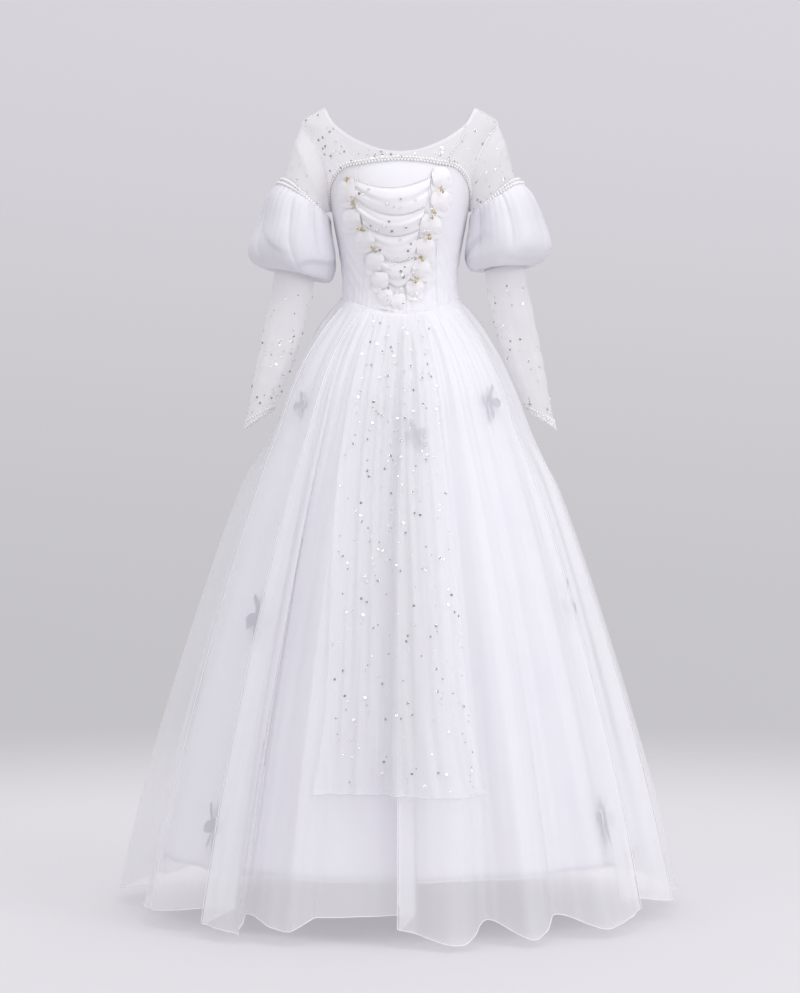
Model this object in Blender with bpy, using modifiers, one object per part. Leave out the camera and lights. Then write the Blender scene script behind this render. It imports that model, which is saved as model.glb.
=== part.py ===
"""A white ball gown in its worn, hollow form: a satin bodice with swags and petals, a sheer
yoke and sleeves, satin puffs, and a satin skirt under organza with a front panel.

Metres, +Z up. The origin is the middle of the waist, where the wearer carries the gown. The
front faces -Y and the wearer's left is +X. Angles on the body run from the front centre (0)
through the wearer's left side (90) to the centre back (180 or -180).
"""

import math
from collections import namedtuple

import bmesh
import bpy
import numpy as np
from mathutils import Vector
from mathutils.bvhtree import BVHTree

# Driving sizes

SATIN_WALL = 0.0015
SHEER_WALL = 0.0010
TRIM_WALL = 0.0012
SEAM_GAP = 0.0003
LAID_ON_SPARE = 0.0001

WAIST_POINT_DROP = 0.038
ORGANZA_HEM = -1.101
SATIN_HEM = -1.030
PANEL_HEM = -0.872

SHOULDER_TIP_HEIGHT = 0.330
NECK_POINT_HEIGHT = 0.350
UNDERARM_HEIGHT = 0.160
BINDING_WIDTH = 0.006
CUFF_WIDTH = 0.014
CUFF_OUT = 0.0028
BODICE_RADIUS = 0.080
SATIN_WAIST_RADIUS = 0.085

# Sections and folds

Section = namedtuple("Section", "height half_width front_depth back_depth")

BODY_SECTIONS = (
    Section(-0.050, 0.113, 0.093, 0.087),
    Section(0.000, 0.107, 0.085, 0.080),
    Section(0.043, 0.108, 0.089, 0.081),
    Section(0.086, 0.114, 0.098, 0.086),
    Section(0.132, 0.1225, 0.108, 0.092),
    Section(0.165, 0.128, 0.111, 0.096),
    Section(0.200, 0.136, 0.107, 0.098),
    Section(0.235, 0.1475, 0.099, 0.097),
    Section(0.270, 0.160, 0.086, 0.090),
    Section(0.300, 0.172, 0.069, 0.077),
    Section(0.320, 0.181, 0.050, 0.060),
    Section(0.330, 0.173, 0.043, 0.050),
    Section(0.340, 0.156, 0.038, 0.042),
    Section(0.350, 0.1395, 0.030, 0.032),
)

SATIN_SECTIONS = (
    Section(-1.030, 0.435, 0.425, 0.440),
    Section(-0.789, 0.380, 0.368, 0.380),
    Section(-0.554, 0.323, 0.308, 0.318),
    Section(-0.432, 0.289, 0.272, 0.282),
    Section(-0.314, 0.250, 0.234, 0.242),
    Section(-0.240, 0.224, 0.209, 0.215),
    Section(-0.175, 0.202, 0.187, 0.190),
    Section(-0.113, 0.173, 0.158, 0.160),
    Section(-0.071, 0.148, 0.134, 0.132),
    Section(-0.026, 0.118, 0.103, 0.096),
    Section(0.000, 0.107, 0.086, 0.080),
)

ORGANZA_SECTIONS = (
    Section(-1.101, 0.510, 0.498, 0.522),
    Section(-0.919, 0.470, 0.458, 0.474),
    Section(-0.789, 0.435, 0.423, 0.436),
    Section(-0.658, 0.396, 0.383, 0.394),
    Section(-0.554, 0.363, 0.350, 0.360),
    Section(-0.432, 0.322, 0.307, 0.317),
    Section(-0.314, 0.278, 0.262, 0.270),
    Section(-0.240, 0.248, 0.233, 0.239),
    Section(-0.175, 0.223, 0.208, 0.212),
    Section(-0.113, 0.192, 0.176, 0.178),
    Section(-0.071, 0.164, 0.149, 0.148),
    Section(-0.026, 0.1295, 0.1125, 0.105),
    Section(0.000, 0.10855, 0.0876, 0.0816),
)

# The organza's folds in order round the hem, from the centre back past the right side. Where
# an angle is smaller than the one before it, the cloth laps back under itself.
Fold = namedtuple("Fold", "angle lift")

ORGANZA_FOLDS = (
    Fold(-180.0, -0.014), Fold(-171.0, 0.020), Fold(-163.0, -0.016), Fold(-155.0, 0.022),
    Fold(-146.0, -0.013), Fold(-138.0, 0.017), Fold(-130.0, -0.018), Fold(-121.0, 0.023),
    Fold(-112.0, -0.014), Fold(-101.0, 0.022), Fold(-76.0, -0.040), Fold(-60.0, 0.002),
    Fold(-37.0, -0.038), Fold(-41.0, 0.012), Fold(-30.5, 0.026), Fold(-33.5, -0.026),
    Fold(-21.3, 0.012), Fold(-17.0, -0.030), Fold(3.5, -0.042), Fold(-0.5, -0.002),
    Fold(10.5, 0.042), Fold(18.0, -0.024), Fold(24.5, 0.036), Fold(34.0, -0.024),
    Fold(41.5, 0.028), Fold(57.5, -0.003), Fold(55.5, -0.040), Fold(75.0, 0.003),
    Fold(73.5, -0.036), Fold(90.5, 0.004), Fold(99.0, -0.024), Fold(107.0, 0.018),
    Fold(115.0, -0.015), Fold(123.0, 0.022), Fold(132.0, -0.016), Fold(141.0, 0.018),
    Fold(149.0, -0.012), Fold(157.0, 0.021), Fold(165.0, -0.017), Fold(173.0, 0.016),
    Fold(180.0, -0.014),
)
ORGANZA_STEPS = 3
ORGANZA_ROWS = 8
ORGANZA_ROW_POWER = 1.25

# How quickly the gathers at the waist open out into the folds, and the folds stand out
FOLD_SPREAD_RATE = 2.2
FOLD_SPREAD_POWER = 0.6
FOLD_LIFT_POWER = 0.85

# Each panel ends at the next one's first column, all of them in shallow or hidden cloth
OrganzaPanel = namedtuple("OrganzaPanel", "name first_column")

ORGANZA_PANELS = (
    OrganzaPanel("back_right", 0),
    OrganzaPanel("right", 24),
    OrganzaPanel("front", 52),
    OrganzaPanel("left", 73),
    OrganzaPanel("back_left", 96),
)

# The hem hangs lower by this share of a fold's lift, and the gathers lie from fold to fold
HEM_WAVE_SHARE = 0.48
HEM_WAVE_POWER = 3
GATHERS_A_FOLD = 2 / 3
GATHER_DEPTH = 0.0022
GATHER_FADE = 0.16
GATHER_START = 0.05

SATIN_SEAMS = (-180.0, -108.0, -36.0, 36.0, 108.0, 180.0)
SATIN_WAVES = 13
SATIN_WAVE_SWAY = 1.4
SATIN_WAVE_DEPTH = 0.007
SATIN_DENT_SHARE = 0.55

# Where the hanging arm presses the skirt in
ARM_DENT = 0.024
ARM_DENT_HEIGHT = -0.195
ARM_DENT_REACH = 0.115
ARM_DENT_CENTRE = 91.8
ARM_DENT_ANGLE = 15.0

# How far below the waist seam the skirts still follow its dip
WAIST_DIP_REACH = 0.10
WAIST_DIP_SPREAD = 0.16

# The side edges of the sequinned front panel
PanelEdge = namedtuple("PanelEdge", "height right_angle left_angle")

FRONT_PANEL_EDGES = (
    PanelEdge(-0.900, -19.3, 19.8),
    PanelEdge(-0.795, -18.4, 17.2),
    PanelEdge(-0.530, -19.8, 17.0),
    PanelEdge(-0.305, -22.9, 17.7),
    PanelEdge(-0.210, -23.5, 17.9),
    PanelEdge(-0.110, -24.0, 20.0),
    PanelEdge(-0.025, -30.0, 30.0),
)
PANEL_COLUMNS = 17
PANEL_FOLDS = (13, 25)
PANEL_STEPS = 6
PANEL_TOP_DROP = 0.0025
PANEL_STAND_OFF = 0.0046
PANEL_TOP_STAND_OFF = 0.0015
PANEL_LIFT_RATE = 12

# Seams and edges of the bodice and yoke

Edge = namedtuple("Edge", "angle height")

BODICE_TOP = (
    Edge(0.0, 0.244),
    Edge(14.0, 0.242),
    Edge(28.0, 0.238),
    Edge(43.0, 0.2335),
    Edge(53.0, 0.2235),
    Edge(62.0, 0.211),
    Edge(70.0, 0.199),
    Edge(79.0, 0.183),
    Edge(85.0, 0.172),
    Edge(90.0, 0.166),
    Edge(110.0, 0.165),
    Edge(180.0, 0.168),
)

Scoop = namedtuple("Scoop", "half_width height")

FRONT_NECKLINE = (
    Scoop(0.0000, 0.258),
    Scoop(0.0330, 0.2625),
    Scoop(0.0630, 0.274),
    Scoop(0.0995, 0.296),
    Scoop(0.1245, 0.3206),
    Scoop(0.1395, 0.350),
)

BACK_NECKLINE = (
    Scoop(0.0000, 0.216),
    Scoop(0.0400, 0.223),
    Scoop(0.0700, 0.243),
    Scoop(0.0949, 0.2755),
    Scoop(0.1130, 0.306),
    Scoop(0.1260, 0.334),
    Scoop(0.1395, 0.350),
)

PRINCESS_SEAM_LOW = 40.0
PRINCESS_SEAM_HIGH = 31.0
ARMHOLE_FRONT_BEND = -21.0
ARMHOLE_BACK_BEND = 21.0
FRONT_YOKE_FOOT = 0.135
BACK_YOKE_FOOT = 0.045
YOKE_CORNER = 0.46
YOKE_LINE_STEPS = 9
NECK_SPREAD_POWER = 0.9
SHOULDER_GAP = 0.0009
SHOULDER_REACH = 0.012
YOKE_FOOT_GAP = 0.0009

# Sleeves and puffs, as rings given by their outermost and innermost points

Ring = namedtuple("Ring", "outer_x outer_height inner_x inner_height half_depth")

SLEEVE_RINGS = (
    Ring(0.1960, 0.286, 0.1400, 0.152, 0.056),
    Ring(0.2065, 0.244, 0.1430, 0.149, 0.051),
    Ring(0.2165, 0.206, 0.1470, 0.144, 0.046),
    Ring(0.2250, 0.120, 0.1530, 0.095, 0.043),
    Ring(0.2350, 0.026, 0.1615, 0.010, 0.040),
    Ring(0.2480, -0.035, 0.1745, -0.047, 0.0375),
    Ring(0.2585, -0.095, 0.1900, -0.105, 0.035),
    Ring(0.2680, -0.142, 0.2070, -0.150, 0.032),
    Ring(0.2760, -0.188, 0.2230, -0.186, 0.029),
    Ring(0.2865, -0.247, 0.2345, -0.212, 0.028),
)
SLEEVE_ROWS = (0.0, 0.1, 0.205, 0.3, 0.395, 0.49, 0.58, 0.67, 0.76, 0.85, 0.92)
SLEEVE_SIDES = 16
SLEEVE_FORWARD = -0.030
SLEEVE_RIPPLE = 0.035
SLEEVE_RIPPLES = 5

PUFF_RINGS_RIGHT = (
    Ring(0.2455, 0.1860, 0.1310, 0.1450, 0.0640),
    Ring(0.2620, 0.1340, 0.1272, 0.1200, 0.0760),
    Ring(0.2790, 0.0920, 0.1215, 0.0850, 0.0815),
    Ring(0.2740, 0.0650, 0.1200, 0.0520, 0.0790),
    Ring(0.2490, 0.0500, 0.1300, 0.0260, 0.0670),
    Ring(0.2370, 0.0560, 0.1470, 0.0310, 0.0540),
)
PUFF_RINGS_LEFT = (
    Ring(0.2440, 0.1880, 0.1310, 0.1480, 0.0640),
    Ring(0.2630, 0.1440, 0.1275, 0.1220, 0.0760),
    Ring(0.2775, 0.0960, 0.1220, 0.0880, 0.0815),
    Ring(0.2700, 0.0720, 0.1215, 0.0660, 0.0780),
    Ring(0.2450, 0.0540, 0.1320, 0.0470, 0.0670),
    Ring(0.2370, 0.0600, 0.1470, 0.0490, 0.0540),
)
PUFF_SIDES = 24
PUFF_GATHERS = 12
PUFF_GATHER_DEPTH = 0.0028
PUFF_LOBES = 4
PUFF_LOBE_DEPTH = 0.030
PUFF_LOBE_TURN = 0.7
PUFF_TOP_SHARE = SLEEVE_ROWS[2]
PUFF_FOOT_SHARE = SLEEVE_ROWS[4]
PUFF_SEAM_OUT = 0.0025

# Swags across the front, by the beaded edge at the top of each and the last one's lower edge

SwagEdge = namedtuple("SwagEdge", "left_x left_height right_x right_height middle_height")

SWAG_EDGES = (
    SwagEdge(-0.082, 0.208, 0.056, 0.211, 0.189),
    SwagEdge(-0.085, 0.176, 0.046, 0.156, 0.140),
    SwagEdge(-0.066, 0.124, 0.034, 0.115, 0.102),
    SwagEdge(-0.044, 0.072, 0.026, 0.066, 0.055),
    SwagEdge(-0.028, 0.030, 0.020, 0.026, 0.010),
)
SWAG_STAND_OFF = 0.0021
SWAG_BULGE = 0.0055
SWAG_BULGE_POWER = 0.75
SWAG_END_BULGE = 0.12
SWAG_LAP_GAP = 0.0018

# Petals down both sides of the swags

Petal = namedtuple("Petal", "x height half_width half_height")

PETALS_RIGHT = (
    Petal(-0.1020, 0.1785, 0.0165, 0.0160),
    Petal(-0.0910, 0.1330, 0.0165, 0.0165),
    Petal(-0.0660, 0.0950, 0.0175, 0.0150),
    Petal(-0.0480, 0.0540, 0.0165, 0.0160),
    Petal(-0.0390, 0.0210, 0.0150, 0.0155),
    Petal(-0.0290, -0.0120, 0.0140, 0.0145),
)
PETALS_LEFT = (
    Petal(0.0781, 0.2060, 0.0170, 0.0190),
    Petal(0.0772, 0.1640, 0.0175, 0.0175),
    Petal(0.0590, 0.1210, 0.0190, 0.0180),
    Petal(0.0490, 0.0800, 0.0170, 0.0165),
    Petal(0.0420, 0.0420, 0.0175, 0.0160),
    Petal(0.0300, 0.0050, 0.0155, 0.0150),
    Petal(0.0000, -0.0185, 0.0135, 0.0140),
)
PETAL_DOME = 0.004
PETAL_REACH = 0.006
PETALS_LIE_ON = (
    "bodice_front", "bodice_side_front_left", "bodice_side_front_right",
    "swag_1", "swag_2", "swag_3", "swag_4",
)

# Loose organza blossoms between the satin and the organza

Blossom = namedtuple("Blossom", "angle height half_width half_height turn")

BLOSSOMS = (
    Blossom(-48.5, -0.590, 0.026, 0.046, 12.0),
    Blossom(67.0, -0.567, 0.027, 0.050, -14.0),
    Blossom(-51.5, -0.955, 0.024, 0.044, 8.0),
    Blossom(59.0, -0.948, 0.026, 0.046, -10.0),
    Blossom(49.5, -0.202, 0.020, 0.036, -18.0),
    Blossom(6.6, -0.263, 0.020, 0.030, 20.0),
    Blossom(-57.0, -0.205, 0.018, 0.026, 15.0),
    Blossom(-112.0, -0.760, 0.026, 0.046, -12.0),
    Blossom(112.0, -0.700, 0.026, 0.046, 14.0),
    Blossom(-150.0, -0.430, 0.022, 0.040, 10.0),
    Blossom(152.0, -0.880, 0.026, 0.046, -8.0),
    Blossom(170.0, -0.360, 0.020, 0.036, 16.0),
)
BLOSSOM_LOBES = 4
BLOSSOM_LOBE_DEPTH = 0.34
BLOSSOM_SIDES = 16
BLOSSOM_RINGS = (0.06, 0.55, 1.0)
BLOSSOM_STAND_OFF = 0.0019
BLOSSOM_CURL = 0.0045
BLOSSOM_CURL_TWIST = 0.3


# Reading the tables


def smooth(rows, column, at):
    """A smooth curve through one column of a table, whose first column rises."""
    keys = np.array([row[0] for row in rows])
    values = np.array([getattr(row, column) for row in rows])
    slopes = np.gradient(values, keys)
    at = np.clip(np.asarray(at, float), keys[0], keys[-1])
    start = np.clip(np.searchsorted(keys, at, side="right") - 1, 0, len(keys) - 2)
    span = keys[start + 1] - keys[start]
    t = (at - keys[start]) / span
    return (
        (2 * t**3 - 3 * t**2 + 1) * values[start]
        + (t**3 - 2 * t**2 + t) * span * slopes[start]
        + (3 * t**2 - 2 * t**3) * values[start + 1]
        + (t**3 - t**2) * span * slopes[start + 1]
    )


def ease(t):
    """0 to 1, level at both ends."""
    t = np.clip(t, 0, 1)
    return t * t * (3 - 2 * t)


def section_point(sections, angle, height, outward=0.0):
    """The point of a body of sections at an angle in radians and a height."""
    sine, cosine = np.sin(angle), np.cos(angle)
    half_width = smooth(sections, "half_width", height)
    front = smooth(sections, "front_depth", height)
    back = smooth(sections, "back_depth", height)
    depth = np.where(cosine > 0, front, back)
    x = (half_width + outward) * sine
    y = -(depth + outward) * cosine
    return np.stack(np.broadcast_arrays(x, y, height), axis=-1)


def body_normal(angle, height):
    """The outward direction of the body's surface."""
    step = 0.002
    angle, height = np.broadcast_arrays(np.asarray(angle, float), np.asarray(height, float))
    low = np.clip(height - step, -0.05, NECK_POINT_HEIGHT - 2 * step)
    across = section_point(BODY_SECTIONS, angle + step, low) - section_point(
        BODY_SECTIONS, angle - step, low
    )
    up = section_point(BODY_SECTIONS, angle, low + 2 * step) - section_point(
        BODY_SECTIONS, angle, low
    )
    normal = np.cross(across, up)
    return normal / np.linalg.norm(normal, axis=-1, keepdims=True)


def body_point(angle, height, outward=0.0):
    """A point of the bodice or yoke, moved out along the surface's normal."""
    outward = np.asarray(outward, float)[..., None]
    return section_point(BODY_SECTIONS, angle, height) + outward * body_normal(angle, height)


def front_point(x, height, outward):
    """The same, for a place given by its x as seen from the front."""
    half_width = smooth(BODY_SECTIONS, "half_width", height)
    return body_point(np.arcsin(np.clip(x / half_width, -0.98, 0.98)), height, outward)


def bodice_top(angle):
    """The height of the satin's top edge."""
    return smooth(BODICE_TOP, "height", np.abs(np.degrees(angle)))


def waist(angle):
    """The height of the waist seam, which dips to a point in front."""
    return -WAIST_POINT_DROP * ((1 + np.cos(angle)) / 2) ** 4


# Making the solids


def cloth_material(name, colour, roughness, sheen, alpha=1.0):
    """A plain cloth finish."""
    material = bpy.data.materials.new(name)
    material.use_nodes = True
    shader = material.node_tree.nodes["Principled BSDF"]
    shader.inputs["Base Color"].default_value = (*colour, 1.0)
    shader.inputs["Roughness"].default_value = roughness
    shader.inputs["Metallic"].default_value = 0.0
    shader.inputs["Sheen Weight"].default_value = sheen
    shader.inputs["Alpha"].default_value = alpha
    return material


def cloth(name, grid, wall, material, closed=False, turned=False):
    """A wall of cloth through a grid of points, rows by columns, joined up when closed."""
    rows, columns = grid.shape[:2]
    shell = bmesh.new()
    points = [[shell.verts.new(point) for point in row] for row in grid]
    for low, high in zip(points, points[1:]):
        for j in range(columns if closed else columns - 1):
            k = (j + 1) % columns
            corners = (low[j], low[k], high[k], high[j])
            shell.faces.new(corners[::-1] if turned else corners)
    bmesh.ops.triangulate(shell, faces=shell.faces[:])
    surfaces[name] = BVHTree.FromBMesh(shell), wall
    mesh = bpy.data.meshes.new(name)
    shell.to_mesh(mesh)
    shell.free()
    mesh.shade_smooth()
    mesh.materials.append(material)
    piece = bpy.data.objects.new(name, mesh)
    gown.objects.link(piece)
    thicken = piece.modifiers.new("wall", "SOLIDIFY")
    thicken.thickness = wall
    thicken.offset = 0.0
    return piece


def seated(grid, inward, wall, under):
    """A grid of a piece moved straight in until it all but touches the pieces under it."""
    room = min(
        surfaces[name][0].find_nearest(Vector(point))[3] - (wall + surfaces[name][1]) / 2
        for name in under
        for point in grid.reshape(-1, 3)
    )
    return grid + np.asarray(inward) * (room - SEAM_GAP - LAID_ON_SPARE)


def shares(count):
    """Evenly spaced numbers from 0 to 1."""
    return np.linspace(0.0, 1.0, count)


# Satin bodice: a centre front, two side fronts and two backs that meet at the concealed zip


def bodice_panel(name, low_edges, high_edges, columns, rows, material):
    """A panel between two seams, each given by its angle at the waist and at the top."""
    v, u = np.meshgrid(shares(rows), shares(columns), indexing="ij")
    first = np.radians(low_edges[0] + (high_edges[0] - low_edges[0]) * v)
    last = np.radians(low_edges[1] + (high_edges[1] - low_edges[1]) * v)
    half_seam = SEAM_GAP / 2 / BODICE_RADIUS
    angle = first + half_seam + (last - first - 2 * half_seam) * u
    bottom, top = waist(angle) + SEAM_GAP, bodice_top(angle)
    return cloth(name, body_point(angle, bottom + (top - bottom) * v), SATIN_WALL, material)


def make_bodice(material):
    low, high = PRINCESS_SEAM_LOW, PRINCESS_SEAM_HIGH
    bodice_panel("bodice_front", (-low, low), (-high, high), 10, 13, material)
    bodice_panel("bodice_side_front_right", (-90, -low), (-90, -high), 7, 9, material)
    bodice_panel("bodice_side_front_left", (low, 90), (high, 90), 7, 9, material)
    bodice_panel("bodice_back_right", (-180, -90), (-180, -90), 10, 7, material)
    bodice_panel("bodice_back_left", (90, 180), (90, 180), 10, 7, material)


# Sheer yoke: a front and two backs, from the satin up to the neckline and the shoulder seams


def armhole_place(up, front):
    """The armhole's angle and height: up runs from the underarm at 0 to the shoulder tip at 1."""
    bend = math.radians(ARMHOLE_FRONT_BEND if front else ARMHOLE_BACK_BEND)
    angle = math.pi / 2 + 4 * up * (1 - up) * bend
    return angle, UNDERARM_HEIGHT + (SHOULDER_TIP_HEIGHT - UNDERARM_HEIGHT) * up


def neckline_place(table, share):
    """The neckline's angle and height, from its centre at 0 to the neck point at 1."""
    half_width = FRONT_NECKLINE[-1].half_width * share
    height = smooth(table, "height", half_width)
    across = half_width / smooth(BODY_SECTIONS, "half_width", height)
    angle = math.asin(min(float(across), 1.0))
    return (angle if table is FRONT_NECKLINE else math.pi - angle), float(height)


def yoke_strip(front, columns, rows):
    """A half yoke on the wearer's left, as a strip from the centre round to the shoulder seam.

    It is grown from the satin's edge and the armhole inwards. The last two rows are the
    binding, and what comes before them is the yoke.
    """
    table = FRONT_NECKLINE if front else BACK_NECKLINE
    foot = FRONT_YOKE_FOOT if front else BACK_YOKE_FOOT
    corner_angle = armhole_place(foot, front)[0]
    centre_angle = 0.0 if front else math.pi
    yoke, binding = [], []
    for t in shares(columns):
        if t < YOKE_CORNER:
            low_angle = centre_angle + (corner_angle - centre_angle) * t / YOKE_CORNER
            low_height = float(bodice_top(low_angle)) + SEAM_GAP + YOKE_FOOT_GAP
        else:
            up = foot + (1 - foot) * (t - YOKE_CORNER) / (1 - YOKE_CORNER)
            low_angle, low_height = armhole_place(up, front)
            low_height += (SEAM_GAP + YOKE_FOOT_GAP) * (1 - up)
        high_angle, high_height = neckline_place(table, t**NECK_SPREAD_POWER)
        line = [
            (low_angle + (high_angle - low_angle) * s, low_height + (high_height - low_height) * s)
            for s in shares(YOKE_LINE_STEPS)
        ]
        spots = np.array([body_point(a, h) for a, h in line])
        away = np.concatenate([[0], np.cumsum(np.linalg.norm(np.diff(spots, axis=0), axis=1))])
        edge = away[-1] - BINDING_WIDTH
        stops = np.concatenate([shares(rows) * (edge - SEAM_GAP), [edge, away[-1]]])
        angles = np.interp(stops, away, [a for a, h in line])
        heights = np.interp(stops, away, [h for a, h in line])
        points = body_point(angles, heights)
        yoke.append(points[:rows])
        binding.append(points[rows:])
    yoke, binding = np.stack(yoke, axis=1), np.stack(binding, axis=1)
    aside = -SHOULDER_GAP if front else SHOULDER_GAP
    for grid in (yoke, binding):
        near = np.clip(1 - np.abs(grid[..., 1]) / SHOULDER_REACH, 0, 1)
        grid[..., 1] += aside * near
    return yoke, binding


def both_halves(half):
    """A half and its mirror, joined at the centre."""
    return np.concatenate([half[:, :0:-1] * (-1, 1, 1), half], axis=1)


def make_yoke(material):
    front, front_binding = yoke_strip(True, 14, 4)
    cloth("yoke_front", both_halves(front), SHEER_WALL, material)
    back, back_binding = yoke_strip(False, 11, 4)
    for grid in (back, back_binding):
        grid[:, 0, 0] = np.maximum(grid[:, 0, 0], SEAM_GAP)
    cloth("yoke_back_left", back, SHEER_WALL, material, turned=True)
    cloth("yoke_back_right", back * (-1, 1, 1), SHEER_WALL, material)
    cloth("neck_binding_front", both_halves(front_binding), TRIM_WALL, material)
    cloth("neck_binding_back_left", back_binding, TRIM_WALL, material, turned=True)
    cloth("neck_binding_back_right", back_binding * (-1, 1, 1), TRIM_WALL, material)


# Sheer sleeves: one tube each, set into the armhole and cut aslant over the hand


def ring_points(ring, turn, forward, swell=1.0):
    """The points of a sleeve's ring: turn 0 is outermost and a quarter turn is in front."""
    outer = np.array([ring.outer_x, forward, ring.outer_height])
    inner = np.array([ring.inner_x, forward, ring.inner_height])
    middle, reach = (outer + inner) / 2, (outer - inner) / 2
    swell = np.asarray(swell, float)[..., None] * np.ones((len(turn), 1))
    ahead = np.array([0.0, -ring.half_depth, 0.0])
    return middle + swell * (np.cos(turn)[:, None] * reach + np.sin(turn)[:, None] * ahead)


def between_rings(rings, share):
    """A ring at a share of the way along a table of rings."""
    numbered = [namedtuple("Numbered", ("place",) + Ring._fields)(i, *r) for i, r in enumerate(rings)]
    at = share * (len(rings) - 1)
    return Ring(*(float(smooth(numbered, column, at)) for column in Ring._fields))


def armhole(turn, outward):
    """The armhole's seam on the wearer's left: turn 0 is the shoulder tip, pi the underarm."""
    up = np.abs(1 - np.abs(turn) / math.pi)
    places = [armhole_place(u, math.sin(t) >= 0) for u, t in zip(up, turn)]
    angle, height = np.array(places).T
    return body_point(angle, height, outward)


def swollen(ring, outward):
    """How much a ring swells when it moves outward."""
    half = math.hypot(ring.outer_x - ring.inner_x, ring.outer_height - ring.inner_height) / 2
    return 1 + outward / min(half, ring.half_depth)


def cuff_start():
    """The share of the sleeve's length at which the cuff's upper edge lies."""
    end, before = SLEEVE_RINGS[-1], SLEEVE_RINGS[-2]
    length = math.hypot(end.outer_x - before.outer_x, end.outer_height - before.outer_height)
    return 1 - CUFF_WIDTH / length / (len(SLEEVE_RINGS) - 1)


def sleeve_grid(rows, sides):
    turn = np.linspace(math.pi, -math.pi, sides, endpoint=False)
    grid = [armhole(turn, SHEER_WALL + SEAM_GAP)]
    for share in (*rows, cuff_start(), 1.0):
        forward = SLEEVE_FORWARD * ease(share)
        soft = ease(4 * share - 1.8) * ease(4 - 4 * share)
        ripple = 1 + SLEEVE_RIPPLE * np.sin(SLEEVE_RIPPLES * turn + 4 * share) * soft
        grid.append(ring_points(between_rings(SLEEVE_RINGS, share), turn, forward, ripple))
    return np.stack(grid)


def cuff_grid(sides):
    """The beaded band round the end of the sleeve, just outside its wall."""
    turn = np.linspace(math.pi, -math.pi, sides, endpoint=False)
    grid = []
    for share in (cuff_start(), 1.0):
        ring = between_rings(SLEEVE_RINGS, share)
        forward = SLEEVE_FORWARD * ease(share)
        grid.append(ring_points(ring, turn, forward, np.full(sides, swollen(ring, CUFF_OUT))))
    return np.stack(grid)


def puff_grid(rings, sides):
    """A balloon of satin gathered to the sleeve above and below."""
    turn = np.linspace(math.pi, -math.pi, sides, endpoint=False)
    grid = []
    for i in range(len(rings) + 2):
        share = i / (len(rings) + 1)
        at = PUFF_TOP_SHARE + (PUFF_FOOT_SHARE - PUFF_TOP_SHARE) * share
        forward = SLEEVE_FORWARD * ease(at)
        if i in (0, len(rings) + 1):
            ring = between_rings(SLEEVE_RINGS, at)
            swell = np.full(sides, swollen(ring, PUFF_SEAM_OUT))
            grid.append(ring_points(ring, turn, forward, swell))
            continue
        ring = rings[i - 1]
        full = math.sin(math.pi * share)
        half = (ring.outer_x - ring.inner_x) / 2
        gathers = PUFF_GATHER_DEPTH / half * np.cos(PUFF_GATHERS * turn) * full
        lobes = PUFF_LOBE_DEPTH * np.sin(PUFF_LOBES * turn + PUFF_LOBE_TURN) * full**2
        away = 0.5 + 0.5 * np.cos(turn)
        grid.append(ring_points(ring, turn, forward, 1 + gathers + lobes * away))
    return np.stack(grid)


def make_sleeves(sheer, satin, trim):
    for side, sign, puff_rings in (("left", 1, PUFF_RINGS_LEFT), ("right", -1, PUFF_RINGS_RIGHT)):
        mirror = np.array([sign, 1, 1])
        turned = sign > 0
        sleeve = sleeve_grid(SLEEVE_ROWS, SLEEVE_SIDES) * mirror
        cloth(f"sleeve_{side}", sleeve, SHEER_WALL, sheer, closed=True, turned=not turned)
        puff = puff_grid(puff_rings, PUFF_SIDES) * mirror
        cloth(f"puff_{side}", puff, SATIN_WALL, satin, closed=True, turned=not turned)
        cuff = cuff_grid(SLEEVE_SIDES) * mirror
        cloth(f"cuff_{side}", cuff, TRIM_WALL, trim, closed=True, turned=not turned)


# Swags and petals on the front of the bodice


def swag_height(edge, share):
    """The height of a swag's edge, hanging between its two ends."""
    ends = edge.left_height + (edge.right_height - edge.left_height) * share
    sag = (edge.left_height + edge.right_height) / 2 - edge.middle_height
    return ends - 4 * sag * share * (1 - share)


def swag_stand_off(u, v):
    """How far a swag stands off the bodice: u runs along it and v from its lower edge up."""
    along = SWAG_END_BULGE + (1 - 2 * SWAG_END_BULGE) * u
    pouch = np.sin(math.pi * (1 - v) ** SWAG_BULGE_POWER) * np.sin(math.pi * along)
    return SWAG_STAND_OFF + SWAG_BULGE * pouch


def swag_place(number, u, v):
    """The x and height of a place on a swag."""
    top, bottom = SWAG_EDGES[number], SWAG_EDGES[number + 1]
    low_x = bottom.left_x + (bottom.right_x - bottom.left_x) * u
    high_x = top.left_x + (top.right_x - top.left_x) * u
    low, high = swag_height(bottom, u) + SWAG_LAP_GAP, swag_height(top, u)
    return low_x + (high_x - low_x) * v, low + (high - low) * v


def make_swags(material):
    v, u = np.meshgrid(shares(5), shares(11), indexing="ij")
    for number in range(len(SWAG_EDGES) - 1):
        x, height = swag_place(number, u, v)
        grid = front_point(x, height, swag_stand_off(u, v))
        cloth(f"swag_{number + 1}", grid, SHEER_WALL, material)


def swags_below(x, height):
    """How far the swags stand off the bodice within a petal's reach of a place."""
    v, u = np.meshgrid(shares(12), shares(40), indexing="ij")
    out = 0.0
    for number in range(len(SWAG_EDGES) - 1):
        swag_x, swag_z = swag_place(number, u, v)
        near = np.hypot(swag_x - x, swag_z - height) < PETAL_REACH
        if near.any():
            out = max(out, float(swag_stand_off(u, v)[near].max()))
    return out


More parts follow.
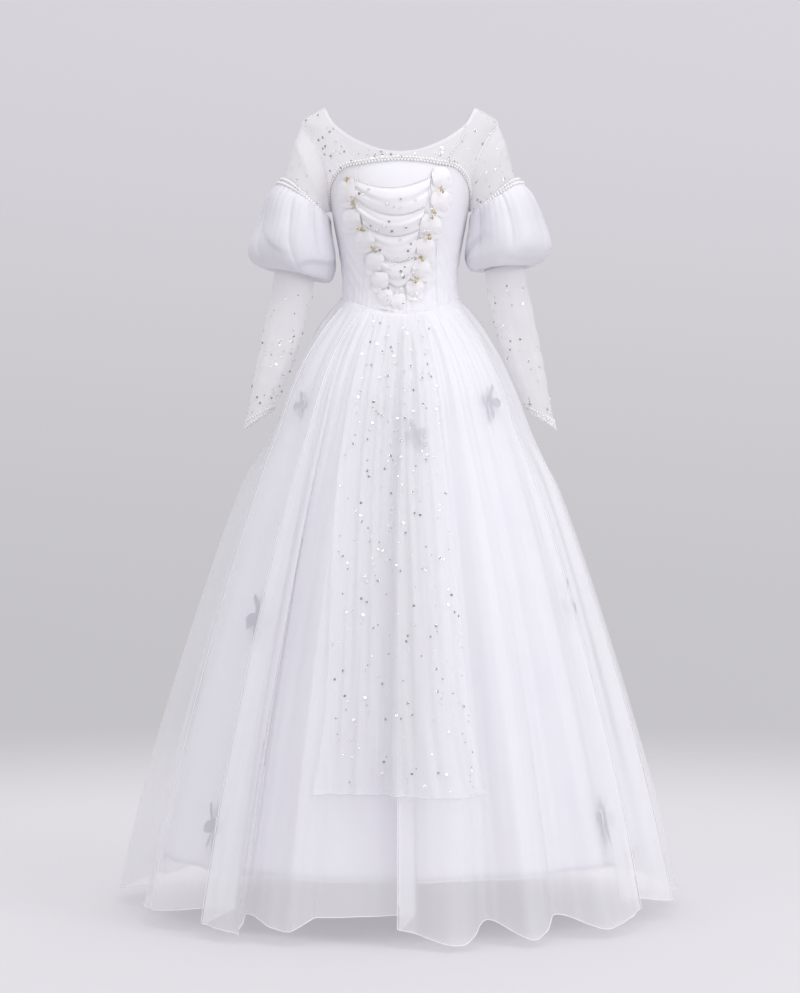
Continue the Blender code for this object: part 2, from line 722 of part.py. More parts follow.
def make_petals(material):
    """Rounded petals whose outer edge lies on the satin and whose inner one laps the swags."""
    on_satin = (SATIN_WALL + SHEER_WALL) / 2 + 2 * SEAM_GAP
    for side, petals in (("right", PETALS_RIGHT), ("left", PETALS_LEFT)):
        for number, petal in enumerate(petals, start=1):
            q, p = np.meshgrid(np.linspace(-1, 1, 4), np.linspace(-1, 1, 4), indexing="ij")
            x = petal.x + petal.half_width * p * np.sqrt(1 - q**2 / 2)
            height = petal.height + petal.half_height * q * np.sqrt(1 - p**2 / 2)
            below = np.array([swags_below(a, h) for a, h in zip(x.flat, height.flat)])
            on_swag = np.where(below > 0, below + SHEER_WALL + SEAM_GAP, 0).reshape(x.shape)
            dome = PETAL_DOME * (1 - (p**2 + q**2) / 2)
            grid = front_point(x, height, np.maximum(on_satin, on_swag) + dome)
            inward = -body_normal(math.asin(petal.x / BODY_SECTIONS[3].half_width), petal.height)
            grid = seated(grid, inward, SHEER_WALL, [n for n in surfaces if n in PETALS_LIE_ON])
            cloth(f"petal_{side}_{number}", grid, SHEER_WALL, material)


# Skirts


def arm_dent(angle, height):
    """How far an arm that hangs at the side presses the skirt in."""
    from_side = np.abs(np.degrees(np.abs(angle)) - ARM_DENT_CENTRE)
    beside = np.exp(-((from_side / ARM_DENT_ANGLE) ** 2))
    level = np.exp(-(((height - ARM_DENT_HEIGHT) / ARM_DENT_REACH) ** 4))
    return ARM_DENT * beside * level


def skirt_point(sections, angle, height, outward):
    """A point of a skirt whose top follows the bodice's lower edge."""
    follow = np.exp((height - waist(angle)) / WAIST_DIP_REACH)
    raised = height - waist(angle) * follow
    spread = -WAIST_DIP_SPREAD * waist(angle) * follow
    point = section_point(sections, angle, raised, outward + spread)
    point[..., 2] = height
    return point


def satin_point(angle, height, outward=0.0):
    """A point of the satin skirt, with its soft waves."""
    sway = SATIN_WAVE_SWAY * np.sin(2 * angle)
    wave = np.sin(SATIN_WAVES * angle + sway) * ease(height / SATIN_HEM)
    dent = SATIN_DENT_SHARE * arm_dent(angle, height)
    return skirt_point(SATIN_SECTIONS, angle, height, outward + SATIN_WAVE_DEPTH * wave - dent)


def make_satin_skirt(material):
    for number, name in enumerate(("back_right", "side_right", "front", "side_left", "back_left")):
        half_seam = SEAM_GAP / 2 / SATIN_WAIST_RADIUS
        first = math.radians(SATIN_SEAMS[number]) + half_seam
        last = math.radians(SATIN_SEAMS[number + 1]) - half_seam
        v, u = np.meshgrid(shares(8) ** 1.3, shares(13), indexing="ij")
        angle = first + (last - first) * u
        top = waist(angle) - SEAM_GAP - SATIN_WALL / 2
        grid = satin_point(angle, top + (SATIN_HEM - top) * v)
        cloth(f"satin_skirt_{name}", grid, SATIN_WALL, material, turned=True)


def organza_grid(first, last, steps, rows):
    """The organza between two columns, waist to hem, at so many columns from fold to fold."""
    share = np.arange(first, last + 1) / steps
    low = np.minimum(share.astype(int), len(ORGANZA_FOLDS) - 2)
    t = share - low
    hem_angle = np.radians([fold.angle for fold in ORGANZA_FOLDS])
    waist_angle = np.sort(hem_angle)
    lift = np.array([fold.lift for fold in ORGANZA_FOLDS])
    at_hem = hem_angle[low] + (hem_angle[low + 1] - hem_angle[low]) * t
    at_waist = waist_angle[low] + (waist_angle[low + 1] - waist_angle[low]) * t
    lifted = lift[low] + (lift[low + 1] - lift[low]) * ease(t)
    grid = []
    for v in rows:
        spread = ease(v * FOLD_SPREAD_RATE) ** FOLD_SPREAD_POWER
        angle = at_waist + (at_hem - at_waist) * spread
        top = waist(angle) - SEAM_GAP - SHEER_WALL / 2
        hem_wave = HEM_WAVE_SHARE * lifted * v**HEM_WAVE_POWER
        height = top + (ORGANZA_HEM - top) * v - hem_wave
        gathers = np.cos(2 * math.pi * share * GATHERS_A_FOLD) * np.exp(-v / GATHER_FADE)
        gathers *= ease(v / GATHER_START)
        out = lifted * v**FOLD_LIFT_POWER + GATHER_DEPTH * gathers - arm_dent(angle, height)
        grid.append(skirt_point(ORGANZA_SECTIONS, angle, height, out))
    return np.stack(grid)


def make_organza_skirt(material):
    rows = shares(ORGANZA_ROWS) ** ORGANZA_ROW_POWER
    last_column = (len(ORGANZA_FOLDS) - 1) * ORGANZA_STEPS
    ends = [panel.first_column for panel in ORGANZA_PANELS[1:]] + [last_column]
    for panel, end in zip(ORGANZA_PANELS, ends):
        grid = organza_grid(panel.first_column, end, ORGANZA_STEPS, rows)
        for edge, beside in ((0, 1), (-1, -2)):
            step = grid[:, beside] - grid[:, edge]
            length = np.linalg.norm(step, axis=-1, keepdims=True)
            grid[:, edge] += step / length * SEAM_GAP
        cloth(f"organza_skirt_{panel.name}", grid, SHEER_WALL, material, turned=True)


def finer(grid, steps):
    """A grid with straight steps put in between its columns."""
    columns = np.linspace(0, grid.shape[1] - 1, (grid.shape[1] - 1) * steps + 1)
    low = np.minimum(columns.astype(int), grid.shape[1] - 2)
    t = (columns - low)[None, :, None]
    return grid[:, low] * (1 - t) + grid[:, low + 1] * t


def front_envelope(organza, angles, heights, window):
    """How far out the outermost layer of a grid of organza comes near each angle and height."""
    angle = np.arctan2(organza[..., 0], -organza[..., 1])
    far = np.hypot(organza[..., 0], organza[..., 1])
    fallen = -organza[..., 2]
    out = []
    for a, h in zip(angles, heights):
        row = [np.interp(-h, column, np.arange(len(column))) for column in fallen.T]
        low = np.minimum(np.array(row).astype(int), len(organza) - 2)
        t = row - low
        columns = np.arange(organza.shape[1])
        at = angle[low, columns] * (1 - t) + angle[low + 1, columns] * t
        away = far[low, columns] * (1 - t) + far[low + 1, columns] * t
        out.append(away[np.abs(at - a) < window].max())
    return np.array(out)


def make_front_panel(material):
    """The sequinned panel that hangs from the waist over the organza."""
    rows = shares(ORGANZA_ROWS) ** ORGANZA_ROW_POWER
    first_column, last_column = (fold * ORGANZA_STEPS for fold in PANEL_FOLDS)
    organza = organza_grid(first_column, last_column, ORGANZA_STEPS, rows)
    organza = finer(organza, PANEL_STEPS)
    grid = []
    foot = PANEL_HEM / ORGANZA_HEM
    for v in sorted([*rows[rows < foot], *((rows[:-4] + rows[1:-3]) / 2), foot]):
        level = -WAIST_POINT_DROP + (ORGANZA_HEM + WAIST_POINT_DROP) * v
        first = math.radians(smooth(FRONT_PANEL_EDGES, "right_angle", level))
        last = math.radians(smooth(FRONT_PANEL_EDGES, "left_angle", level))
        angle = np.linspace(first, last, PANEL_COLUMNS)
        top = waist(angle) - PANEL_TOP_DROP
        height = top + (ORGANZA_HEM - top) * v
        window = (last - first) / (PANEL_COLUMNS - 1)
        lift = (PANEL_STAND_OFF - PANEL_TOP_STAND_OFF) * ease(PANEL_LIFT_RATE * v)
        stand_off = PANEL_TOP_STAND_OFF + lift
        away = front_envelope(organza, angle, height, window) + stand_off
        grid.append(np.stack([away * np.sin(angle), -away * np.cos(angle), height], axis=-1))
    cloth("front_panel", np.stack(grid), SHEER_WALL, material, turned=True)


def make_blossoms(material):
    """Blossoms of organza, each a ring of rounded lobes, held off the satin."""
    for number, blossom in enumerate(BLOSSOMS, start=1):
        around = np.linspace(0, 2 * math.pi, BLOSSOM_SIDES, endpoint=False)
        petals = np.abs(np.cos(BLOSSOM_LOBES / 2 * around))
        lobes = 1 - BLOSSOM_LOBE_DEPTH * (1 - petals)
        turn = math.radians(blossom.turn)
        centre = math.radians(blossom.angle)
        radius = float(np.hypot(*satin_point(centre, blossom.height)[:2]))
        grid = []
        for share in BLOSSOM_RINGS:
            aside = blossom.half_width * lobes * share * np.cos(around)
            up = blossom.half_height * lobes * share * np.sin(around)
            across = aside * math.cos(turn) - up * math.sin(turn)
            height = blossom.height + aside * math.sin(turn) + up * math.cos(turn)
            twist = 1 + BLOSSOM_CURL_TWIST * np.cos(2 * around)
            lift = BLOSSOM_STAND_OFF + BLOSSOM_CURL * share**2 * twist
            grid.append(satin_point(centre + across / radius, height, lift))
        inward = (-math.sin(centre), math.cos(centre), 0.0)
        grid = seated(np.stack(grid), inward, SHEER_WALL, [n for n in surfaces if "satin" in n])
        cloth(f"blossom_{number}", grid, SHEER_WALL, material, closed=True, turned=True)


surfaces = {}
for old in list(bpy.data.objects):
    bpy.data.objects.remove(old)
gown = bpy.data.collections.new("ball_gown")
bpy.context.scene.collection.children.link(gown)

satin_finish = cloth_material("ivory_white_satin", (0.87, 0.86, 0.90), 0.38, 0.25)
chiffon_finish = cloth_material("white_chiffon", (0.88, 0.87, 0.88), 0.75, 0.40)
mesh_finish = cloth_material("sheer_mesh", (0.86, 0.85, 0.87), 0.65, 0.20, 0.35)
organza_finish = cloth_material("white_organza", (0.88, 0.88, 0.92), 0.45, 0.30, 0.50)
beaded_finish = cloth_material("beaded_trim", (0.85, 0.84, 0.86), 0.35, 0.10)

make_bodice(satin_finish)
make_yoke(mesh_finish)
make_sleeves(mesh_finish, satin_finish, beaded_finish)
make_swags(chiffon_finish)
make_petals(chiffon_finish)
make_satin_skirt(satin_finish)
make_organza_skirt(organza_finish)
make_front_panel(mesh_finish)
make_blossoms(organza_finish)
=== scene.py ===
import math

import bmesh
import bpy
import numpy as np
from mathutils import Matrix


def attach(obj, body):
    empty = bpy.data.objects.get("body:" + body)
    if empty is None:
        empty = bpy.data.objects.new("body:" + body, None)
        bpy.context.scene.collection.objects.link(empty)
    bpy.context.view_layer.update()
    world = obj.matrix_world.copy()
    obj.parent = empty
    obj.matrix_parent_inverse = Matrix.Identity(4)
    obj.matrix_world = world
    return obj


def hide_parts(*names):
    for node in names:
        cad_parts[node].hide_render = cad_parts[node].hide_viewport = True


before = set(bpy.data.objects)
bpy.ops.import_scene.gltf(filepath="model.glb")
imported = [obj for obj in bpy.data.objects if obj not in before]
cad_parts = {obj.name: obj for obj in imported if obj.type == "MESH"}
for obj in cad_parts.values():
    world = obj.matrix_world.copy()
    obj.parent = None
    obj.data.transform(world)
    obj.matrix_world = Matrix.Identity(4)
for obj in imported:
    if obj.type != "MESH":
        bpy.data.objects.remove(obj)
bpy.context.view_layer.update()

# The camera stands five metres in front of the gown at the height of its upper skirt, level,
# with a long lens, so the hem's front hangs a little lower in the picture than its back.
camera_distance = 5.0
camera_height = -0.373
camera = bpy.data.objects.new("camera", bpy.data.cameras.new("camera"))
camera.data.sensor_width = 36.0
camera.data.lens = 97.4
camera.location = (0.0, -camera_distance, camera_height)
camera.rotation_euler = (math.pi / 2, 0.0, 0.0)
bpy.context.collection.objects.link(camera)
bpy.context.scene.camera = camera

# A pale studio: a wide floor three centimetres under the hem that fades into an even
# lavender-grey surround, two large soft lights in front, one above and one behind.
floor_height, floor_radius = -1.132, 30.0
floor_near, floor_far = 1.4, 4.2
bpy.context.scene.view_settings.view_transform = "Standard"


def dial(node, **settings):
    """Sets a node's inputs by name, with _ for a space."""
    for name, value in settings.items():
        node.inputs[name.replace("_", " ")].default_value = value
    return node


def add_node(nodes, kind, operation=None, **settings):
    node = nodes.new("ShaderNode" + kind)
    if operation:
        node.operation = operation
    return dial(node, **settings)


def times_plus(nodes, links, source, factor, more):
    """A source times a number, plus another."""
    node = add_node(nodes, "Math", "MULTIPLY_ADD")
    node.inputs[1].default_value, node.inputs[2].default_value = factor, more
    links.new(source, node.inputs[0])
    return node


def colour_ramp(nodes, links, source, *stops):
    """The colours that a source takes at stated positions."""
    node = add_node(nodes, "ValToRGB")
    elements = node.color_ramp.elements
    for number, (position, colour) in enumerate(stops):
        stop = elements[number] if number < 2 else elements.new(position)
        stop.position, stop.color = position, (*colour, 1.0)
    links.new(source, node.inputs["Fac"])
    return node


def new_finish(name, **settings):
    """A material with its nodes, its links and its shader."""
    material = bpy.data.materials.new(name)
    material.use_nodes = True
    nodes, links = material.node_tree.nodes, material.node_tree.links
    return material, nodes, links, dial(nodes["Principled BSDF"], **settings)


world = bpy.data.worlds.new("studio")
bpy.context.scene.world = world
world.use_nodes = True
nodes, links = world.node_tree.nodes, world.node_tree.links
surround = nodes["Background"]
compass = add_node(nodes, "SeparateXYZ")
links.new(add_node(nodes, "TexCoord").outputs["Generated"], compass.inputs[0])
height_share = times_plus(nodes, links, compass.outputs["Z"], 0.5, 0.5)
backdrop = colour_ramp(nodes, links, height_share.outputs[0], (0.46, (0.545, 0.535, 0.560)),
                       (0.60, (0.665, 0.650, 0.695)), (0.85, (0.84, 0.83, 0.86)))
backdrop.color_ramp.interpolation = "EASE"
side_share = times_plus(nodes, links, compass.outputs["X"], 0.10, 1.03)
links.new(backdrop.outputs["Color"], surround.inputs["Color"])
links.new(side_share.outputs[0], surround.inputs["Strength"])

bpy.ops.mesh.primitive_circle_add(vertices=96, radius=floor_radius, fill_type="NGON",
                                  location=(0.0, 0.0, floor_height))
floor = bpy.context.object
floor.name = "studio_floor"
floor_paint, nodes, links, shader = new_finish(
    "floor_paint", Base_Color=(0.42, 0.41, 0.43, 1.0), Roughness=0.85,
    Emission_Color=(1.0, 0.975, 1.02, 1.0), Emission_Strength=0.29)
from_middle = add_node(nodes, "VectorMath", "LENGTH")
fade = add_node(nodes, "MapRange", From_Min=floor_far, From_Max=floor_near)
fade.interpolation_type = "SMOOTHSTEP"
links.new(add_node(nodes, "TexCoord").outputs["Object"], from_middle.inputs[0])
links.new(from_middle.outputs["Value"], fade.inputs["Value"])
links.new(fade.outputs["Result"], shader.inputs["Alpha"])
floor.data.materials.append(floor_paint)


def soft_light(name, place, target, width, height, power):
    lamp = bpy.data.lights.new(name, "AREA")
    lamp.shape = "RECTANGLE"
    lamp.size, lamp.size_y, lamp.energy = width, height, power
    light = bpy.data.objects.new(name, lamp)
    light.location = place
    aim = bpy.data.objects.new(name + "_aim", None)
    aim.location = target
    bpy.context.collection.objects.link(light)
    bpy.context.collection.objects.link(aim)
    follow = light.constraints.new("TRACK_TO")
    follow.target, follow.track_axis, follow.up_axis = aim, "TRACK_NEGATIVE_Z", "UP_Y"
    light.visible_camera = False


soft_light("front_left_light", (-3.2, -3.6, 1.2), (0.0, 0.0, -0.3), 1.8, 2.4, 13.0)
soft_light("front_right_light", (3.2, -2.8, 1.9), (0.0, 0.0, -0.3), 1.6, 2.4, 46.0)
soft_light("top_light", (0.2, -1.0, 3.0), (0.0, 0.0, -0.2), 1.6, 1.6, 26.0)
soft_light("back_light", (0.0, 3.6, 1.8), (0.0, 0.0, -0.3), 2.8, 2.4, 12.0)


# The bodice: five panels of white satin, a centre front between two princess seams, two side
# fronts and two backs that meet at a concealed zip. The panels are sewn edge to edge, and the
# cloth is drawn tight round the waist, with the seams' pull showing beside them.
body_sections = np.array([
    # height, half width, depth in front, depth behind
    (-0.050, 0.113, 0.093, 0.087),
    (0.000, 0.107, 0.085, 0.080),
    (0.043, 0.108, 0.089, 0.081),
    (0.086, 0.114, 0.098, 0.086),
    (0.132, 0.1225, 0.108, 0.092),
    (0.165, 0.128, 0.111, 0.096),
    (0.200, 0.136, 0.107, 0.098),
    (0.235, 0.1475, 0.099, 0.097),
    (0.270, 0.160, 0.086, 0.090),
    (0.300, 0.172, 0.069, 0.077),
    (0.320, 0.181, 0.050, 0.060),
    (0.330, 0.173, 0.043, 0.050),
    (0.340, 0.156, 0.038, 0.042),
    (0.350, 0.1395, 0.030, 0.032),
])
bodice_top_edge = np.array([
    # degrees from the front, height
    (0.0, 0.244), (14.0, 0.242), (28.0, 0.238), (43.0, 0.2335), (53.0, 0.2235), (62.0, 0.211),
    (70.0, 0.199), (79.0, 0.183), (85.0, 0.172), (90.0, 0.166), (110.0, 0.165), (180.0, 0.168),
])
waist_point_drop = 0.038
waist_radius = 0.09
princess_low, princess_high = 40.0, 31.0
satin_wall = 0.0012
sewing_gap = 0.0001


def curve_through(table, column, at):
    """A smooth curve through one column of a table against its first."""
    keys, values = table[:, 0], table[:, column]
    slopes = np.gradient(values, keys)
    at = np.clip(np.asarray(at, float), keys[0], keys[-1])
    low = np.clip(np.searchsorted(keys, at, side="right") - 1, 0, len(keys) - 2)
    span = keys[low + 1] - keys[low]
    t = (at - keys[low]) / span
    return (
        (2 * t**3 - 3 * t**2 + 1) * values[low] + (t**3 - 2 * t**2 + t) * span * slopes[low]
        + (3 * t**2 - 2 * t**3) * values[low + 1] + (t**3 - t**2) * span * slopes[low + 1]
    )


def ease(t):
    t = np.clip(t, 0, 1)
    return t * t * (3 - 2 * t)


def round_the_body(sections, angle, height, outward=0.0):
    """A point at an angle from the front, turning towards the wearer's left, and a height."""
    sine, cosine = np.sin(angle), np.cos(angle)
    depth = np.where(cosine > 0, curve_through(sections, 2, height),
                     curve_through(sections, 3, height))
    x = (curve_through(sections, 1, height) + outward) * sine
    return np.stack(np.broadcast_arrays(x, -(depth + outward) * cosine, height), axis=-1)


def off_the_body(angle, height):
    """The direction straight off the body's surface."""
    step = 0.002
    angle, height = np.broadcast_arrays(np.asarray(angle, float), np.asarray(height, float))
    low = np.clip(height - step, -0.05, 0.350 - 2 * step)
    across = (round_the_body(body_sections, angle + step, low)
              - round_the_body(body_sections, angle - step, low))
    up = (round_the_body(body_sections, angle, low + 2 * step)
          - round_the_body(body_sections, angle, low))
    normal = np.cross(across, up)
    return normal / np.linalg.norm(normal, axis=-1, keepdims=True)


def on_the_body(angle, height, outward=0.0):
    outward = np.asarray(outward, float)[..., None]
    return round_the_body(body_sections, angle, height) + outward * off_the_body(angle, height)


def bodice_top(angle):
    return curve_through(bodice_top_edge, 1, np.abs(np.degrees(angle)))


def waist_seam(angle):
    """The waist seam's height, level at the sides and dipping to a soft point in front."""
    return -waist_point_drop * ((1 + np.cos(angle)) / 2) ** 4


def make_piece(name, points, corners, material):
    mesh = bpy.data.meshes.new(name)
    mesh.from_pydata(points.tolist(), [], corners)
    mesh.shade_smooth()
    mesh.materials.append(material)
    piece = bpy.data.objects.new(name, mesh)
    bpy.context.collection.objects.link(piece)
    return piece


def lay_out(piece, flat):
    """The UV map, from one flat place for each of the piece's points."""
    mesh = piece.data
    cut = mesh.uv_layers.new(name="cut")
    index = np.empty(len(mesh.loops), dtype=int)
    mesh.loops.foreach_get("vertex_index", index)
    cut.data.foreach_set("uv", flat[index].ravel())


def cut_cloth(name, grid, material, closed=False, turned=False):
    """A sheet of cloth through rows of points, with its cut in metres as its UV map."""
    rows, columns = grid.shape[:2]
    corners = []
    for i in range(rows - 1):
        for j in range(columns if closed else columns - 1):
            k = (j + 1) % columns
            face = (i * columns + j, i * columns + k, (i + 1) * columns + k, (i + 1) * columns + j)
            corners.append(face[::-1] if turned else face)
    piece = make_piece(name, grid.reshape(-1, 3), corners, material)
    along = np.linalg.norm(np.diff(grid, axis=1), axis=-1).mean(0)
    down = np.linalg.norm(np.diff(grid, axis=0), axis=-1).mean(1)
    v, u = np.meshgrid(np.concatenate([[0], np.cumsum(down)]),
                       np.concatenate([[0], np.cumsum(along)]), indexing="ij")
    lay_out(piece, np.stack([u.ravel(), v.ravel()], axis=-1))
    return piece


def ring_closed(grid):
    return np.concatenate([grid, grid[:, :1]], axis=1)


def outline_size(x, y):
    """The width, length and area of a flat outline."""
    area = abs(float(np.sum(x * np.roll(y, -1) - y * np.roll(x, -1)))) / 2
    return (float(np.ptp(x)), float(np.ptp(y))), area


def fasten(piece, slot, *nodes):
    """Hands a piece over to the frame: what it rides on and what it stands for. Its slot is not
    used.
    """
    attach(piece, "root")
    if nodes:
        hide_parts(*nodes)


def sew_cloth(name, grid, material, node, slot, closed=False, turned=False, wall=0.0,
              cut=None):
    """A sheet of cloth, handed over to the frame. Its cut is not used."""
    piece = cut_cloth(name, grid, material, closed, turned)
    fasten(piece, slot, node)
    if wall:
        layer = piece.modifiers.new("wall", "SOLIDIFY")
        layer.thickness, layer.offset = wall, 0.0


def clouded(nodes, links, **settings):
    """Soft noise through the piece's own space."""
    noise = add_node(nodes, "TexNoise", **settings)
    links.new(add_node(nodes, "TexCoord").outputs["Object"], noise.inputs["Vector"])
    return noise.outputs["Fac"]


def woven_bump(nodes, links, shader, pitch, depth, creases=0.0, crease_size=40.0):
    """A plain weave along the cut's two directions, over soft uneven creasing."""
    place = add_node(nodes, "TexCoord")
    both = add_node(nodes, "Math", "MAXIMUM")
    for number, direction in enumerate("XY"):
        wave = add_node(nodes, "TexWave", Scale=0.314 / pitch, Distortion=0.4)
        wave.bands_direction = direction
        links.new(place.outputs["UV"], wave.inputs["Vector"])
        links.new(wave.outputs["Fac"], both.inputs[number])
    weave = add_node(nodes, "Bump", Strength=0.25, Distance=depth)
    links.new(both.outputs[0], weave.inputs["Height"])
    if creases:
        crease = add_node(nodes, "Bump", Strength=0.6, Distance=creases)
        links.new(clouded(nodes, links, Scale=crease_size, Detail=4.0, Roughness=0.45),
                  crease.inputs["Height"])
        links.new(crease.outputs["Normal"], weave.inputs["Normal"])
    links.new(weave.outputs["Normal"], shader.inputs["Normal"])
    return both.outputs[0]


def satin(name, colour, shade, roughness, sheen, creases, crease_size):
    """White satin: a tight weave with a broad soft shine and faint uneven tone."""
    material, nodes, links, shader = new_finish(
        name, Sheen_Weight=sheen, Sheen_Roughness=0.35, Specular_IOR_Level=0.35)
    cloud = clouded(nodes, links, Scale=9.0, Detail=3.0)
    tone = colour_ramp(nodes, links, cloud, (0.30, shade), (0.65, colour))
    gloss = add_node(nodes, "MapRange", To_Min=roughness - 0.06, To_Max=roughness + 0.08)
    links.new(tone.outputs["Color"], shader.inputs["Base Color"])
    links.new(cloud, gloss.inputs["Value"])
    links.new(gloss.outputs["Result"], shader.inputs["Roughness"])
    woven_bump(nodes, links, shader, 0.0005, 0.0002, creases, crease_size)
    return material


def cloth_shares(rows, columns):
    """Shares down and across a sheet of cloth."""
    return np.meshgrid(np.linspace(0, 1, rows), np.linspace(0, 1, columns), indexing="ij")


bodice_satin = satin("bodice_satin", (0.93, 0.925, 0.955), (0.89, 0.88, 0.925), 0.42, 0.25,
                     0.0012, 26.0)
bodice_panels = (
    # name, angles of its two seams at the waist, and at the top edge
    ("bodice_front", -princess_low, princess_low, -princess_high, princess_high),
    ("bodice_side_front_right", -90.0, -princess_low, -90.0, -princess_high),
    ("bodice_side_front_left", princess_low, 90.0, princess_high, 90.0),
    ("bodice_back_right", -180.0, -90.0, -180.0, -90.0),
    ("bodice_back_left", 90.0, 180.0, 90.0, 180.0),
)
for node, low_first, low_last, high_first, high_last in bodice_panels:
    v, u = cloth_shares(64, 64)
    first = np.radians(low_first + (high_first - low_first) * v)
    last = np.radians(low_last + (high_last - low_last) * v)
    half_seam = sewing_gap / 2 / waist_radius
    angle = first + half_seam + (last - first - 2 * half_seam) * u
    foot, head = waist_seam(angle) - 0.0008, bodice_top(angle)
    height = foot + (head - foot) * v
    seam_pull = 0.0003 * (np.exp(-u / 0.05) + np.exp(-(1 - u) / 0.05))
    waist_pull = 0.0008 * np.exp(-v / 0.12) * np.sin(angle * 46 + 3 * np.sin(angle * 9))
    strain = 0.0006 * np.sin(height * 210 + 5 * np.sin(angle * 7))
    strain = strain * np.exp(-((v - 0.25) / 0.2) ** 2)
    grid = on_the_body(angle, height, -seam_pull + waist_pull + strain)
    sew_cloth(node + "_satin", grid, bodice_satin, node, "bodice_satin",
              wall=satin_wall)

# The yoke: one layer of fine mesh from the satin's top edge over the shoulders, a front and
# two backs, bound at the neck with a narrow fold of the same mesh.
front_neckline = np.array([
    # distance from the centre, height
    (0.0000, 0.258), (0.0330, 0.2625), (0.0630, 0.274), (0.0995, 0.296), (0.1245, 0.3206),
    (0.1395, 0.350),
])
back_neckline = np.array([
    # distance from the centre, height
    (0.0000, 0.216), (0.0400, 0.223), (0.0700, 0.243), (0.0949, 0.2755), (0.1130, 0.306),
    (0.1260, 0.334), (0.1395, 0.350),
])
underarm_height, shoulder_tip_height = 0.160, 0.330
shoulder_reach = 0.1395
armhole_bend = math.radians(21.0)
yoke_corner = 0.46
binding_width = 0.006


def armhole_place(up, front):
    """The armhole seam's angle and height, from the underarm at 0 to the shoulder tip at 1."""
    bend = -armhole_bend if front else armhole_bend
    angle = math.pi / 2 + 4 * up * (1 - up) * bend
    return angle, underarm_height + (shoulder_tip_height - underarm_height) * up


def neckline_place(front, share):
    away = shoulder_reach * share
    height = float(curve_through(front_neckline if front else back_neckline, 1, away))
    across = min(float(away / curve_through(body_sections, 1, height)), 1.0)
    return (math.asin(across) if front else math.pi - math.asin(across)), height


def yoke_half(front, columns, rows):
    """Half a yoke from the centre round to the shoulder seam, and the binding on its edge."""
    foot = 0.135 if front else 0.045
    corner = armhole_place(foot, front)[0]
    centre = 0.0 if front else math.pi
    yoke, binding = [], []
    for t in np.linspace(0, 1, columns):
        if t < yoke_corner:
            low_angle = centre + (corner - centre) * t / yoke_corner
            low_height = float(bodice_top(low_angle)) + 0.0005
        else:
            up = foot + (1 - foot) * (t - yoke_corner) / (1 - yoke_corner)
            low_angle, low_height = armhole_place(up, front)
        high_angle, high_height = neckline_place(front, t**0.9)
        s = np.linspace(0, 1, 15)
        angles = low_angle + (high_angle - low_angle) * s
        heights = low_height + (high_height - low_height) * s
        spots = on_the_body(angles, heights)
        away = np.concatenate([[0], np.cumsum(np.linalg.norm(np.diff(spots, axis=0), axis=1))])
        edge = away[-1] - binding_width
        stops = np.concatenate([np.linspace(0, edge, rows), np.linspace(edge, away[-1], 4)])
        points = on_the_body(np.interp(stops, away, angles), np.interp(stops, away, heights))
        yoke.append(points[:rows])
        binding.append(points[rows:])
    return np.stack(yoke, axis=1), np.stack(binding, axis=1)


def laid_flat(band):
    """The cut of a curved band, unrolled one strip after another between its two edges."""
    deep = np.linalg.norm(np.diff(band, axis=0), axis=-1).sum(0)
    chord = np.linalg.norm(band[-1] - band[0], axis=-1)
    low, high = [np.zeros(2)], [np.array([0.0, deep[0]])]
    for j in range(1, band.shape[1]):
        bow = (deep[j - 1] + deep[j]) / (chord[j - 1] + chord[j])
        along_low = np.linalg.norm(band[0, j] - band[0, j - 1])
        along_high = np.linalg.norm(band[-1, j] - band[-1, j - 1])
        across = np.linalg.norm(band[0, j] - band[-1, j - 1]) * bow
        low.append(third_corner(low[-1], high[-1], along_low, across))
        high.append(third_corner(low[-1], high[-1], deep[j], along_high))
    outline = np.array(low + high[::-1])
    middle = (low[len(low) // 2] + low[(len(low) - 1) // 2]) / 2
    up = (high[len(high) // 2] + high[(len(high) - 1) // 2]) / 2 - middle
    up = up / np.linalg.norm(up)
    outline = outline - middle
    return outline_size(outline @ np.array([up[1], -up[0]]), outline @ up)


def third_corner(first, second, from_first, from_second):
    """The flat corner at two known distances, on the right of the line from first to second."""
    line = second - first
    base = np.linalg.norm(line)
    line = line / base
    along = (from_first**2 - from_second**2 + base**2) / (2 * base)
    aside = math.sqrt(max(from_first**2 - along**2, 0.0))
    return first + along * line + aside * np.array([line[1], -line[0]])


def both_halves(half):
    return np.concatenate([half[:, :0:-1] * (-1, 1, 1), half], axis=1)


def sheer(name, colour, alpha, alpha_swing, pitch, sheen, roughness, depth=0.0002, creases=0.0):
    """See-through cloth: open threads a fraction of a millimetre apart, seen as a soft veil."""
    material, nodes, links, shader = new_finish(
        name, Base_Color=(*colour, 1.0), Roughness=roughness, Sheen_Weight=sheen,
        Sheen_Roughness=0.3, Specular_IOR_Level=0.25)
    threads = woven_bump(nodes, links, shader, pitch, depth, creases, 30.0)
    dense = times_plus(nodes, links, clouded(nodes, links, Scale=6.0), 0.10,
                       alpha - 0.05 - alpha_swing / 2)
    veil = times_plus(nodes, links, threads, alpha_swing, 0.0)
    links.new(dense.outputs[0], veil.inputs[2])
    links.new(veil.outputs[0], shader.inputs["Alpha"])
    return material


